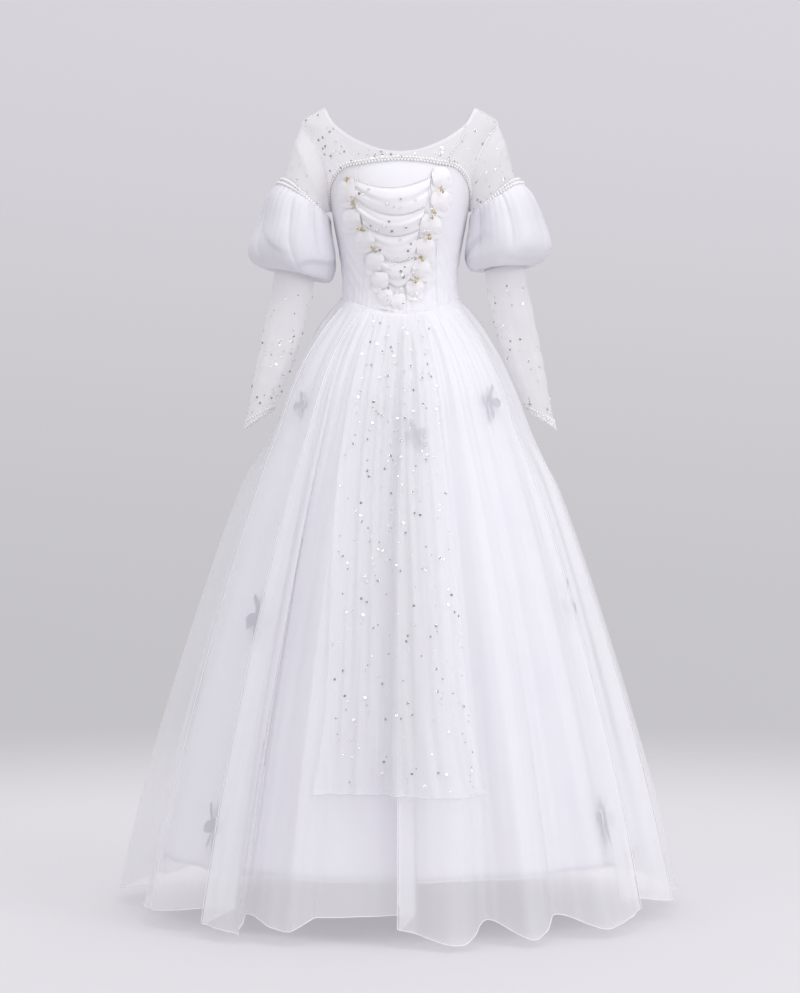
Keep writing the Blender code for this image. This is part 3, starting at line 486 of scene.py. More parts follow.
yoke_mesh = sheer("yoke_mesh", (0.97, 0.955, 0.975), 0.38, 0.12, 0.0009, 0.5, 0.6)
bound_mesh = sheer("bound_mesh", (0.93, 0.92, 0.94), 0.55, 0.10, 0.0009, 0.3, 0.6)
front_yoke, front_binding = yoke_half(True, 60, 22)
back_yoke, back_binding = yoke_half(False, 48, 22)
for node, grid, material, turned in (
    ("yoke_front", both_halves(front_yoke), yoke_mesh, False),
    ("yoke_back_left", back_yoke, yoke_mesh, True),
    ("yoke_back_right", back_yoke * (-1, 1, 1), yoke_mesh, False),
    ("neck_binding_front", both_halves(front_binding), bound_mesh, False),
    ("neck_binding_back_left", back_binding, bound_mesh, True),
    ("neck_binding_back_right", back_binding * (-1, 1, 1), bound_mesh, False),
):
    if node.startswith("yoke"):
        sew_cloth(node + "_mesh", grid, material, node, "sheer_mesh", turned=turned,
                  cut=laid_flat(grid))
    else:
        fasten(cut_cloth(node + "_mesh", grid, material, turned=turned), "sheer_mesh", node)

# Pearls: small round white beads sewn in two rows along the satin's top edge, and one short
# curved row on the wearer's left of the yoke. Each bead is a sphere with a soft lustre.
pearl_radius, pearl_pitch = 0.0024, 0.0060
row_pearl_radius, row_pearl_pitch = 0.0018, 0.0050
stitch = 0.0004


def pearl_finish(name, colour, roughness, metallic=0.0):
    material, nodes, links, shader = new_finish(
        name, Metallic=metallic, Roughness=roughness, Coat_Weight=0.5, Coat_Roughness=0.12)
    tone = colour_ramp(nodes, links, clouded(nodes, links, Scale=260.0),
                       (0.0, [c * 0.88 for c in colour]), (1.0, colour))
    links.new(tone.outputs["Color"], shader.inputs["Base Color"])
    return material


def spaced_along(points, pitch):
    """Places at an even pitch along a line of points."""
    away = np.concatenate([[0], np.cumsum(np.linalg.norm(np.diff(points, axis=0), axis=1))])
    stops = np.arange(pitch / 2, away[-1], pitch)
    return np.stack([np.interp(stops, away, points[:, k]) for k in range(3)], axis=-1)


def sew_beads(name, places, radii, material, slot, round_steps=8):
    """Round beads at the given places, as one piece."""
    ball = bmesh.new()
    bmesh.ops.create_uvsphere(ball, u_segments=round_steps, v_segments=round_steps - 2, radius=1.0)
    shape = np.array([vert.co[:] for vert in ball.verts])
    faces = [[vert.index for vert in face.verts] for face in ball.faces]
    ball.free()
    places = np.asarray(places)
    radii = np.broadcast_to(np.asarray(radii, float), len(places))
    points = (shape[None] * radii[:, None, None] + places[:, None]).reshape(-1, 3)
    corners = [[i + n * len(shape) for i in face] for n in range(len(places)) for face in faces]
    fasten(make_piece(name, points, corners, material), slot)


pearl_white = pearl_finish("pearl_white", (1.0, 0.985, 0.975), 0.3)
trim_angle = np.radians(np.linspace(-101.0, 101.0, 400))
for number, (above, begin) in enumerate(((0.0022, 0), (-0.0026, 3)), start=1):
    line = on_the_body(trim_angle, bodice_top(trim_angle) + above, pearl_radius + stitch)
    sew_beads(f"bodice_pearls_{number}", spaced_along(line[begin:], pearl_pitch), pearl_radius,
              pearl_white, "bodice_satin")
row_share = np.linspace(0, 1, 60)
row_x = 0.1215 - 0.030 * row_share**1.6
row_height = 0.3135 - 0.059 * row_share
row_angle = np.arcsin(row_x / curve_through(body_sections, 1, row_height))
row = on_the_body(row_angle, row_height, 0.0022)
sew_beads("yoke_pearl_row", spaced_along(row, row_pearl_pitch), row_pearl_radius, pearl_white,
          "sheer_mesh")

# The sleeves: a long tube of the same mesh each, seamed into the armhole and cut on a slant
# over the back of the hand. They hang from the shoulder with a few soft bends.
sleeve_rings = np.array([
    # place along, outer x, outer height, inner x, inner height, half depth
    (0, 0.1960, 0.286, 0.1400, 0.152, 0.056),
    (1, 0.2065, 0.244, 0.1430, 0.149, 0.051),
    (2, 0.2165, 0.206, 0.1470, 0.144, 0.046),
    (3, 0.2250, 0.120, 0.1530, 0.095, 0.043),
    (4, 0.2350, 0.026, 0.1615, 0.010, 0.040),
    (5, 0.2480, -0.035, 0.1745, -0.047, 0.0375),
    (6, 0.2585, -0.095, 0.1900, -0.105, 0.035),
    (7, 0.2680, -0.142, 0.2070, -0.150, 0.032),
    (8, 0.2760, -0.188, 0.2230, -0.186, 0.029),
    (9, 0.2865, -0.247, 0.2345, -0.212, 0.028),
])
sleeve_forward = -0.030
puff_top_share, puff_foot_share = 0.205, 0.395
cuff_share = 0.974
sleeve_head_rows, sleeve_rows = 7, 80


def ring_of(table, share):
    at = share * (len(table) - 1)
    return [float(curve_through(table, column, at)) for column in range(1, 6)]


def ring_points(ring, turn, forward, swell=1.0):
    """Points round a sleeve: turn 0 is outermost and a quarter turn is in front."""
    outer_x, outer_z, inner_x, inner_z, half_depth = ring
    middle = np.array([(outer_x + inner_x) / 2, forward, (outer_z + inner_z) / 2])
    reach = np.array([(outer_x - inner_x) / 2, 0.0, (outer_z - inner_z) / 2])
    swell = np.broadcast_to(np.asarray(swell, float), turn.shape)[:, None]
    ahead = np.array([0.0, -half_depth, 0.0])
    return middle + swell * (np.cos(turn)[:, None] * reach + np.sin(turn)[:, None] * ahead)


def sleeve_tube(rows, sides):
    turn = np.linspace(math.pi, -math.pi, sides, endpoint=False)
    up = np.abs(1 - np.abs(turn) / math.pi)
    seam = np.array([armhole_place(a, math.sin(t) >= 0) for a, t in zip(up, turn)])
    head = on_the_body(seam[:, 0], seam[:, 1], 0.0008)
    first = ring_points(ring_of(sleeve_rings, 0.0), turn, 0.0)
    grid = [head + (first - head) * t for t in np.linspace(0, 1, sleeve_head_rows + 1)[:-1]]
    for share in np.linspace(0, 1, rows):
        soft = ease(4 * share - 1.8) * ease(4 - 4 * share)
        ripple = 1 + 0.035 * np.sin(5 * turn + 4 * share) * soft
        ripple = ripple + 0.014 * np.sin(11 * turn - 5 * share + 0.8) * soft
        bends = 0.018 * np.sin(70 * share + 1.6 * np.sin(turn * 2 + 1.0)) * soft
        elbow = 0.03 * np.exp(-((share - 0.60) / 0.06) ** 2) * np.sin(turn * 3 + 30 * share)
        ring = ring_of(sleeve_rings, share)
        grid.append(ring_points(ring, turn, sleeve_forward * ease(share), ripple + bends + elbow))
    return np.stack(grid)


sleeve_grid = sleeve_tube(sleeve_rows, 96)
for side, mirror in (("left", 1), ("right", -1)):
    grid = sleeve_grid * (mirror, 1, 1)
    sew_cloth(f"sleeve_{side}_mesh", grid, yoke_mesh, f"sleeve_{side}", "sheer_mesh",
              closed=True, turned=mirror < 0)

# The puffs: a wide band of satin on each upper arm, gathered tight to the sleeve above and
# below so that it blouses out in a few large soft lobes. Pearls cover the upper gathers.
puff_rings = {
    "right": np.array([
        (0, 0.2455, 0.1860, 0.1310, 0.1450, 0.0640),
        (1, 0.2620, 0.1340, 0.1272, 0.1200, 0.0760),
        (2, 0.2790, 0.0920, 0.1215, 0.0850, 0.0815),
        (3, 0.2740, 0.0650, 0.1200, 0.0520, 0.0790),
        (4, 0.2490, 0.0500, 0.1300, 0.0260, 0.0670),
        (5, 0.2370, 0.0560, 0.1470, 0.0310, 0.0540),
    ]),
    "left": np.array([
        (0, 0.2440, 0.1880, 0.1310, 0.1480, 0.0640),
        (1, 0.2630, 0.1440, 0.1275, 0.1220, 0.0760),
        (2, 0.2775, 0.0960, 0.1220, 0.0880, 0.0815),
        (3, 0.2700, 0.0720, 0.1215, 0.0660, 0.0780),
        (4, 0.2450, 0.0540, 0.1320, 0.0470, 0.0670),
        (5, 0.2370, 0.0600, 0.1470, 0.0490, 0.0540),
    ]),
}
puff_creases = {
    # where each fold lies: turn, half its reach, share down the puff, slant, depth
    "right": ((2.35, 0.75, 0.56, -0.16, 0.085), (0.95, 0.50, 0.40, 0.10, 0.045),
              (1.55, 0.35, 0.80, 0.20, 0.040)),
    "left": ((2.75, 0.50, 0.44, 0.05, 0.085), (1.75, 0.30, 0.16, 0.35, 0.050),
             (0.90, 0.55, 0.62, -0.12, 0.045)),
}
# The puff satin is the bodice's white satin made darker: its lower colour is painted shade, set to
# keep the puffs from glaring where the lights fall full on them.
puff_satin = satin("puff_satin", (0.80, 0.795, 0.83), (0.72, 0.715, 0.765), 0.36, 0.2, 0.0010,
                   11.0)
puff_wall = 0.0008
puff_over_sleeve = 0.0022


def puff_balloon(side, rows, sides):
    table = puff_rings[side]
    turn = np.linspace(math.pi, -math.pi, sides, endpoint=False)
    seams = [ring_of(sleeve_rings, puff_top_share), ring_of(sleeve_rings, puff_foot_share)]
    for ring in seams:
        half = math.hypot(ring[0] - ring[2], ring[1] - ring[3]) / 2
        grow = 1 + puff_over_sleeve / min(half, ring[4])
        for outer, inner in ((0, 2), (1, 3)):
            middle = (ring[outer] + ring[inner]) / 2
            ring[outer] = middle + (ring[outer] - middle) * grow
            ring[inner] = middle + (ring[inner] - middle) * grow
        ring[4] *= grow
    stations = np.array([[0.0, *seams[0]]] + [[i + 1.0, *r[1:]] for i, r in enumerate(table)]
                        + [[len(table) + 1.0, *seams[1]]])
    grid = []
    phase = 0.7 if side == "left" else 2.1
    for share in np.linspace(0, 1, rows):
        at = puff_top_share + (puff_foot_share - puff_top_share) * share
        full = math.sin(math.pi * share)
        near_top, near_foot = math.exp(-share / 0.16), math.exp(-(1 - share) / 0.10)
        pinned = min(1.0, 14 * share, 14 * (1 - share))
        lean = turn + 0.25 * math.sin(2.6 * share + phase) + 0.10 * np.sin(2 * turn + phase)
        lobes = 0.034 * np.sin(4 * lean + phase) + 0.020 * np.sin(7 * lean + 2 * phase)
        wide_folds = 0.085 * (np.abs(np.sin(3.5 * lean + 0.6 * phase)) ** 0.7 - 0.65)
        wide_folds = wide_folds * (math.exp(-(((share - 0.28) / 0.26) ** 2)) + 0.25 * full)
        crossing = np.zeros_like(turn)
        for middle, reach, level, slant, depth in puff_creases[side]:
            bend = 0.05 * np.sin(3.2 * (turn - middle))
            below = share - level - slant * (turn - middle) - bend
            near = np.exp(-(((turn - middle) / reach) ** 2))
            soft = ease(below / 0.045 + 0.5) * np.exp(-np.maximum(below, 0) / 0.15)
            crossing += depth * near * soft
        gathers = np.abs(np.sin(15 * turn + 1.2 * np.sin(3 * turn + phase)))
        pleats = 0.045 * (gathers - 0.6) * (near_top + near_foot) * pinned
        swell = 1 + lobes * full**2 * (0.7 + 0.3 * np.cos(turn)) + pleats
        swell = swell + (wide_folds - crossing * full) * pinned
        row = ring_points(ring_of(stations, share), turn, sleeve_forward * ease(at), swell)
        row[:, 2] += 0.010 * np.maximum(np.sin(turn), 0) * math.exp(-share / 0.22)
        grid.append(row)
    return np.stack(grid)


for side, mirror in (("left", 1), ("right", -1)):
    grid = puff_balloon(side, 60, 220) * (mirror, 1, 1)
    sew_cloth(f"puff_{side}_satin", grid, puff_satin, f"puff_{side}", "puff_satin",
              closed=True, turned=mirror < 0, wall=puff_wall)
    for number, row in enumerate((1, 3), start=1):
        ring = grid[row]
        outward = ring - ring.mean(0)
        outward /= np.linalg.norm(outward, axis=-1, keepdims=True)
        line = ring + outward * pearl_radius
        line = np.concatenate([line[3 * row:], line[:3 * row + 1]])
        sew_beads(f"puff_{side}_pearls_{number}", spaced_along(line, pearl_pitch), pearl_radius,
                  pearl_white, "puff_satin")

# The cuffs: a narrow band of lace on the slanted end of each sleeve, sewn over with pearls
# and silver beads so close that little lace shows.
cuff_lace = sheer("cuff_lace", (0.92, 0.91, 0.92), 0.80, 0.10, 0.0014, 0.2, 0.5)
silver_bead = pearl_finish("silver_bead", (0.96, 0.95, 0.96), 0.2, 0.35)
cuff_pearl_radius, cuff_pearl_pitch, silver_pitch = 0.0019, 0.0056, 0.0064
cuff_chance = np.random.default_rng(11)
for side, mirror in (("left", 1), ("right", -1)):
    turn = np.linspace(math.pi, -math.pi, 96, endpoint=False)
    rows = []
    for share in np.linspace(cuff_share, 1.0, 6):
        ring = ring_of(sleeve_rings, share)
        rows.append(ring_points(ring, turn, sleeve_forward * ease(share), 1.07) * (mirror, 1, 1))
    grid = np.stack(rows)
    sew_cloth(f"cuff_{side}_lace", grid, cuff_lace, f"cuff_{side}", "beaded_cuff",
              closed=True, turned=mirror < 0)
    rounds = ring_closed(grid)
    pearls = np.concatenate([spaced_along(rounds[i], cuff_pearl_pitch) for i in (0, 5)])
    sew_beads(f"cuff_{side}_pearls", pearls, cuff_pearl_radius, pearl_white, "beaded_cuff")
    small = np.concatenate([spaced_along(rounds[i], silver_pitch) for i in (1, 2, 3, 4)])
    small = small + cuff_chance.normal(0, 0.0006, small.shape)
    radii = cuff_chance.uniform(0.0009, 0.0016, len(small))
    sew_beads(f"cuff_{side}_silver", small, radii, silver_bead, "beaded_cuff", 6)

# The swags: four lengths of soft chiffon gathered at their ends, hung across the centre front
# one under another in a V. Each has a string of small silver beads along its upper edge.
swag_edges = np.array([
    # left x, left height, right x, right height, height in the middle
    (-0.082, 0.208, 0.056, 0.211, 0.189),
    (-0.085, 0.176, 0.046, 0.156, 0.140),
    (-0.066, 0.124, 0.034, 0.115, 0.102),
    (-0.044, 0.072, 0.026, 0.066, 0.055),
    (-0.028, 0.030, 0.020, 0.026, 0.010),
])
swag_off, swag_pouch, swag_fold = 0.0022, 0.0036, 0.0012
chiffon_wall = 0.0006
string_radius, string_pitch, string_off = 0.0013, 0.0040, 0.0018


def in_front(x, height, outward):
    half_width = curve_through(body_sections, 1, height)
    return on_the_body(np.arcsin(np.clip(x / half_width, -0.98, 0.98)), height, outward)


def swag_edge_height(edge, u):
    sag = (edge[1] + edge[3]) / 2 - edge[4]
    return edge[1] + (edge[3] - edge[1]) * u - 4 * sag * u * (1 - u)


def swag_place(number, u, v):
    """The x and height of a place on a swag, u along it and v up from its lower edge."""
    top, foot = swag_edges[number], swag_edges[number + 1]
    low_x, high_x = foot[0] + (foot[2] - foot[0]) * u, top[0] + (top[2] - top[0]) * u
    low, high = swag_edge_height(foot, u) + 0.0005, swag_edge_height(top, u)
    return low_x + (high_x - low_x) * v, low + (high - low) * v


def swag_stand_off(number, u, v):
    pouch = np.sin(math.pi * (1 - v) ** 0.75) * np.sin(math.pi * (0.12 + 0.76 * u))
    drag = np.sin(math.pi * v) * np.sin(9 * v + 6.0 * u * (1 - u) + 2.6 * number)
    fine = 0.35 * np.sin(math.pi * v) * np.sin(21 * v + 9.0 * u * (1 - u) + 1.3 * number)
    gathered = (np.abs(u - 0.5) * 2) ** 1.5
    return swag_off + swag_pouch * pouch + swag_fold * (drag + fine) * (0.4 + gathered)


chiffon = satin("chiffon", (0.95, 0.945, 0.96), (0.92, 0.91, 0.935), 0.75, 0.5, 0.0004, 60.0)
string_bead = pearl_finish("string_bead", (0.84, 0.83, 0.84), 0.2, 0.6)
for number in range(4):
    v, u = cloth_shares(40, 80)
    x, height = swag_place(number, u, v)
    grid = in_front(x, height, swag_stand_off(number, u, v))
    sew_cloth(f"swag_{number + 1}_chiffon", grid, chiffon, f"swag_{number + 1}", "chiffon",
              wall=chiffon_wall)
    x, height = swag_place(number, np.linspace(0, 1, 160), 1.0)
    string = in_front(x, height, swag_off + string_off)
    sew_beads(f"swag_{number + 1}_bead_string", spaced_along(string, string_pitch), string_radius,
              string_bead, "chiffon", 6)

# The petals: rounded pieces of chiffon in two layers, a little cupped and rippled at the edge,
# sewn down both sides of the swags so that each laps the next, with a spray of gold beads.
petals = {
    "right": np.array([
        # x, height, half width, half height
        (-0.0990, 0.1850, 0.0165, 0.0205), (-0.0910, 0.1330, 0.0165, 0.0165),
        (-0.0660, 0.0950, 0.0175, 0.0150), (-0.0480, 0.0540, 0.0165, 0.0160),
        (-0.0390, 0.0210, 0.0150, 0.0155), (-0.0290, -0.0120, 0.0140, 0.0145),
    ]),
    "left": np.array([
        (0.0781, 0.2060, 0.0170, 0.0190), (0.0772, 0.1640, 0.0175, 0.0175),
        (0.0590, 0.1210, 0.0190, 0.0180), (0.0490, 0.0800, 0.0170, 0.0165),
        (0.0420, 0.0420, 0.0175, 0.0160), (0.0300, 0.0050, 0.0155, 0.0150),
        (0.0000, -0.0185, 0.0135, 0.0140),
    ]),
}


def petal_cut(grid):
    """The cut of a small round piece, laid flat from its middle out to its edge."""
    middle = grid[0].mean(0)
    reach = np.linalg.norm(np.diff(grid, axis=0), axis=-1).sum(0)
    reach = reach + np.linalg.norm(grid[0] - middle, axis=-1)
    edge = grid[-1] - middle
    across = edge[0] - edge[len(edge) // 2]
    across = across / np.linalg.norm(across)
    facing = np.cross(across, edge[len(edge) // 4] - edge[3 * len(edge) // 4])
    up = np.cross(facing / np.linalg.norm(facing), across)
    heading = np.arctan2(edge @ up, edge @ across)
    return outline_size(reach * np.cos(heading), reach * np.sin(heading))


def spread_round(inmost, rings, sides):
    """Shares from the middle out and angles round, for a round piece of cloth."""
    return np.meshgrid(np.linspace(inmost, 1, rings),
                       np.linspace(0, 2 * math.pi, sides, endpoint=False), indexing="ij")


petal_layers = (
    # size across, size up, aside, up, how far it stands off
    (1.08, 1.30, 0.22, -0.10, 0.0028),
    (0.92, 1.00, 0.30, 0.12, 0.0046),
)
petal_chance = np.random.default_rng(5)
petal_chiffon = satin("petal_chiffon", (0.96, 0.95, 0.965), (0.93, 0.915, 0.94), 0.75, 0.5,
                      0.0004, 60.0)
for side, table in petals.items():
    inward = 1 if side == "right" else -1
    for number, (x, height, half_width, half_height) in enumerate(table, start=1):
        for layer, (wide, tall, aside, up, off) in enumerate(petal_layers, start=1):
            turn = petal_chance.uniform(0, 6.28)
            share, around = spread_round(0.02, 18, 80)
            square = (np.abs(np.cos(around)) ** 3.2 + np.abs(np.sin(around)) ** 3.2) ** (-1 / 3.2)
            uneven = 1 + 0.06 * np.sin(3 * around + turn) + 0.02 * np.sin(7 * around + 2 * turn)
            reach = square * uneven * share
            px = x + half_width * (aside * inward + wide * reach * np.cos(around))
            pz = height + half_height * (up + tall * reach * np.sin(around))
            frill = 0.0009 * np.sin(4 * around + turn) + 0.0003 * np.sin(9 * around - turn)
            cup = off + 0.0022 * (1 - share**2.5) + frill * share**3
            lap = 0.0030 * np.clip((pz - height) / half_height, -1, 0)
            grid = in_front(px, pz, np.maximum(cup + lap, 0.0016))
            node = f"petal_{side}_{number}"
            sew_cloth(f"{node}_layer_{layer}", grid, petal_chiffon, node, "chiffon",
                      closed=True, cut=petal_cut(grid))

beads_in_a_spray, spray_off = 32, 0.0125
gold_bead = pearl_finish("gold_bead", (0.62, 0.52, 0.28), 0.30, 0.6)
gold_sprays = (
    # x, height, lean of the spray in degrees, its length
    (-0.0902, 0.2060, 60.0, 0.010), (-0.0797, 0.1663, 105.0, 0.018),
    (-0.0657, 0.1168, 145.0, 0.015), (-0.0437, 0.0816, 125.0, 0.015),
    (0.0697, 0.1852, 125.0, 0.011), (0.0559, 0.1417, 62.0, 0.016),
    (0.0483, 0.1032, 95.0, 0.010), (0.0363, 0.0642, 120.0, 0.010),
    (0.0267, 0.0234, 70.0, 0.012),
)
for number, (x, height, lean, length) in enumerate(gold_sprays, start=1):
    places = []
    for _ in range(beads_in_a_spray):
        along = petal_chance.uniform(-0.5, 0.5) * length
        wide = petal_chance.normal(0, 0.0014 + 0.12 * abs(along + 0.5 * length))
        lean_cos, lean_sin = math.cos(math.radians(lean)), math.sin(math.radians(lean))
        spot_x = x + along * lean_cos - wide * lean_sin
        spot_z = height + along * lean_sin + wide * lean_cos
        places.append(in_front(spot_x, spot_z, spray_off + 0.0014 * petal_chance.uniform()))
    radii = petal_chance.uniform(0.0008, 0.0014, len(places))
    sew_beads(f"gold_spray_{number}", places, radii, gold_bead, "chiffon", 6)

# Crystals: clear cut stones in a silver setting, sewn beside the sprays and at the foot of
# the V. Each is coloured near-white as a painted glint, the bright white point that the light
# makes of a clear stone.
crystal_places = (
    # x, height, radius
    (0.0535, 0.1510, 0.0026), (0.0480, 0.1130, 0.0028), (0.0415, 0.1120, 0.0022),
    (0.0435, 0.0630, 0.0026), (0.0310, 0.0440, 0.0027), (0.0180, 0.0820, 0.0024),
    (-0.0090, 0.0520, 0.0028), (-0.0350, 0.0060, 0.0024), (-0.0205, -0.0060, 0.0030),
    (0.0335, -0.0130, 0.0024), (0.0215, 0.0370, 0.0024), (-0.0290, 0.0010, 0.0020),
)
# The stones' shine is real reflection; their near-white colour is a painted glint.
cut_stone = pearl_finish("cut_stone", (0.97, 0.97, 1.0), 0.12, 0.35)
stone_off = 0.0105
stone_spots = [in_front(x, height, stone_off) for x, height, _ in crystal_places]
sew_beads("crystals", stone_spots, [radius for _, _, radius in crystal_places], cut_stone,
          "chiffon", 6)

# The satin skirt: five gores of heavier satin sewn to the waist seam. It falls in long soft
# waves that widen to the hem, and carries the shape of the whole skirt.
satin_sections = np.array([
    # height, half width, depth in front, depth behind
    (-1.030, 0.435, 0.425, 0.440),
    (-0.789, 0.380, 0.368, 0.380),
    (-0.554, 0.323, 0.308, 0.318),
    (-0.432, 0.289, 0.272, 0.282),
    (-0.314, 0.250, 0.234, 0.242),
    (-0.240, 0.224, 0.209, 0.215),
    (-0.175, 0.202, 0.187, 0.190),
    (-0.113, 0.173, 0.158, 0.160),
    (-0.071, 0.148, 0.134, 0.132),
    (-0.026, 0.118, 0.103, 0.096),
    (0.000, 0.107, 0.086, 0.080),
])
satin_hem = -1.030
satin_seams = (-180.0, -108.0, -36.0, 36.0, 108.0, 180.0)
skirt_top_radius, skirt_wall = 0.085, 0.0010
satin_hem_radius = 0.0012


def arm_dent(angle, height):
    """Where the hanging arm presses the skirt in."""
    from_side = np.degrees(np.abs(np.abs(angle) - math.pi / 2 * 1.02))
    level = np.exp(-(((height + 0.195) / 0.115) ** 4))
    return 0.024 * np.exp(-((from_side / 15.0) ** 2)) * level


def under_the_waist(sections, angle, height, outward):
    """A point of a skirt whose top follows the dip of the waist seam."""
    follow = np.exp((height - waist_seam(angle)) / 0.10)
    raised = height - waist_seam(angle) * follow
    point = round_the_body(sections, angle, raised, outward - 0.16 * waist_seam(angle) * follow)
    point[..., 2] = height
    return point


def on_the_satin(angle, height, outward=0.0):
    fall = ease(height / satin_hem)
    wave = 0.007 * np.sin(13 * angle + 1.4 * np.sin(2 * angle))
    fine = 0.0035 * np.sin(31 * angle + 2.2 * np.sin(3 * angle) + 1.5 * height)
    top = 0.0010 * np.sin(90 * angle + 2 * np.sin(7 * angle)) * np.exp(height / 0.05)
    pleats = 0.0032 * np.sin(34 * angle + 2.4 * np.sin(3 * angle)) * np.exp(height / 0.20)
    sway = (wave + fine) * fall + top + pleats * ease((waist_seam(angle) - height) / 0.09)
    return under_the_waist(satin_sections, angle, height,
                           outward + sway - 0.55 * arm_dent(angle, height))


def rolled_edge(name, line, radius, material, slot):
    """A thin round roll of cloth along an edge."""
    spline_curve = bpy.data.curves.new(name, "CURVE")
    spline_curve.dimensions = "3D"
    spline_curve.bevel_depth, spline_curve.bevel_resolution = radius, 1
    spline = spline_curve.splines.new("POLY")
    spline.points.add(len(line) - 1)
    spline.points.foreach_set("co", np.c_[line, np.ones(len(line))].ravel())
    piece = bpy.data.objects.new(name, spline_curve)
    spline_curve.materials.append(material)
    bpy.context.collection.objects.link(piece)
    fasten(piece, slot)


skirt_satin = satin("skirt_satin", (0.93, 0.925, 0.965), (0.90, 0.892, 0.945), 0.40, 0.25,
                    0.0010, 7.0)
for number, name in enumerate(("back_right", "side_right", "front", "side_left", "back_left")):
    v, u = cloth_shares(80, 110)
    v = v ** 1.2
    half_seam = sewing_gap / 2 / skirt_top_radius
    first = math.radians(satin_seams[number]) + half_seam
    last = math.radians(satin_seams[number + 1]) - half_seam
    angle = first + (last - first) * u
    top = waist_seam(angle)
    height = top + (satin_hem - top) * v
    turned_hem = 0.0010 * np.exp(-((v - 0.978) / 0.003) ** 2)
    grid = on_the_satin(angle, height, -turned_hem)
    sew_cloth(f"satin_skirt_{name}_gore", grid, skirt_satin, f"satin_skirt_{name}", "skirt_satin",
              turned=True, wall=skirt_wall)
    rolled_edge(f"satin_hem_{name}", grid[-1], satin_hem_radius, skirt_satin, "skirt_satin")

# The organza overskirt: one crisp see-through layer gathered into the waist seam, standing
# in big folds that lap over each other at the front, with a narrow rolled hem along its foot
# and along the edges that stand over the next fold, where it shows as a bright line.
organza_sections = np.array([
    # height, half width, depth in front, depth behind
    (-1.101, 0.510, 0.498, 0.522),
    (-0.919, 0.470, 0.458, 0.474),
    (-0.789, 0.435, 0.423, 0.436),
    (-0.658, 0.396, 0.383, 0.394),
    (-0.554, 0.363, 0.350, 0.360),
    (-0.432, 0.322, 0.307, 0.317),
    (-0.314, 0.278, 0.262, 0.270),
    (-0.240, 0.248, 0.233, 0.239),
    (-0.175, 0.223, 0.208, 0.212),
    (-0.113, 0.192, 0.176, 0.178),
    (-0.071, 0.164, 0.149, 0.148),
    (-0.026, 0.1295, 0.1125, 0.105),
    (0.000, 0.10855, 0.0876, 0.0816),
])
organza_hem = -1.101
organza_folds = np.array([
    # degrees, how far the fold stands out or in at the hem
    (-180.0, -0.014), (-171.0, 0.020), (-163.0, -0.016), (-155.0, 0.022),
    (-146.0, -0.013), (-138.0, 0.017), (-130.0, -0.018), (-121.0, 0.023),
    (-112.0, -0.014), (-101.0, 0.022), (-76.0, -0.040), (-60.0, 0.002),
    (-37.0, -0.038), (-41.0, 0.012), (-30.5, 0.026), (-33.5, -0.026),
    (-21.3, 0.012), (-17.0, -0.030), (3.5, -0.042), (-0.5, -0.002),
    (10.5, 0.042), (18.0, -0.024), (24.5, 0.036), (34.0, -0.024),
    (41.5, 0.028), (57.5, -0.003), (55.5, -0.040), (75.0, 0.003),
    (73.5, -0.036), (90.5, 0.004), (99.0, -0.024), (107.0, 0.018),
    (115.0, -0.015), (123.0, 0.022), (132.0, -0.016), (141.0, 0.018),
    (149.0, -0.012), (157.0, 0.021), (165.0, -0.017), (173.0, 0.016),
    (180.0, -0.014),
])
organza_steps = 18
hem_roll_radius, edge_roll_radius = 0.0009, 0.0007


def organza_cloth(first, last, rows):
    """The organza from one fold's number to another's, from the waist to the hem."""
    share = np.linspace(first, last, int(round((last - first) * organza_steps)) + 1)
    low = np.minimum(share.astype(int), len(organza_folds) - 2)
    t = share - low
    hem_angle, lift = np.radians(organza_folds[:, 0]), organza_folds[:, 1]
    waist_angle = np.sort(hem_angle)
    at_hem = hem_angle[low] + (hem_angle[low + 1] - hem_angle[low]) * t
    at_waist = waist_angle[low] + (waist_angle[low + 1] - waist_angle[low]) * t
    lifted = lift[low] + (lift[low + 1] - lift[low]) * ease(t)
    grid = []
    for v in rows:
        angle = at_waist + (at_hem - at_waist) * ease(v * 2.2) ** 0.6
        top = waist_seam(angle)
        height = top + (organza_hem - top) * v - 0.012 * lifted / 0.025 * v**3
        gathers = (0.0040 * np.cos(2 * math.pi * share) * np.exp(-v / 0.20)
                   + 0.0030 * np.cos(2 * math.pi * share * 2.37 + 1.0) * np.exp(-v / 0.14)
                   + 0.0012 * np.cos(2 * math.pi * share * 4.6 + 2.0) * np.exp(-v / 0.09))
        gathers = gathers * ease(v / 0.05)
        ripple = 0.0024 * np.sin(2 * math.pi * share * 1.43 + 2.2 * math.sin(3.1 * v)) * v
        crisp = 0.0010 * np.sin(2 * math.pi * share * 3.1 + 5 * v) * v
        out = lifted * v**0.85 + gathers + ripple + crisp - arm_dent(angle, height)
        grid.append(under_the_waist(organza_sections, angle, height, out))
    return np.stack(grid)


organza = sheer("organza", (0.965, 0.96, 0.985), 0.42, 0.10, 0.0007, 1.0, 0.45, 0.0002, 0.0012)
rolled_hem = satin("rolled_hem", (0.95, 0.95, 0.97), (0.92, 0.92, 0.95), 0.5, 0.4, 0.0002, 90.0)
organza_rows = np.linspace(0, 1, 90) ** 1.15
organza_panels = (
    # name, number of its first fold and of the next panel's
    ("back_right", 0.0, 8.0), ("right", 8.0, 17.0 + 1 / 3), ("front", 17.0 + 1 / 3, 24.0 + 1 / 3),
    ("left", 24.0 + 1 / 3, 32.0), ("back_left", 32.0, 40.0),
)
standing_edges = (11, 13, 19, 25, 27)
for name, first, last in organza_panels:
    grid = organza_cloth(first, last, organza_rows)
    sew_cloth(f"organza_skirt_{name}_layer", grid, organza, f"organza_skirt_{name}",
              "skirt_organza", turned=True)
    rolled_edge(f"organza_hem_{name}", grid[-1], hem_roll_radius, rolled_hem, "skirt_organza")
    for fold in standing_edges:
        if first < fold < last:
            crest = grid[2:, int(round((fold - first) * organza_steps))]
            rolled_edge(f"organza_edge_{fold}", crest, edge_roll_radius, rolled_hem,
                        "skirt_organza")

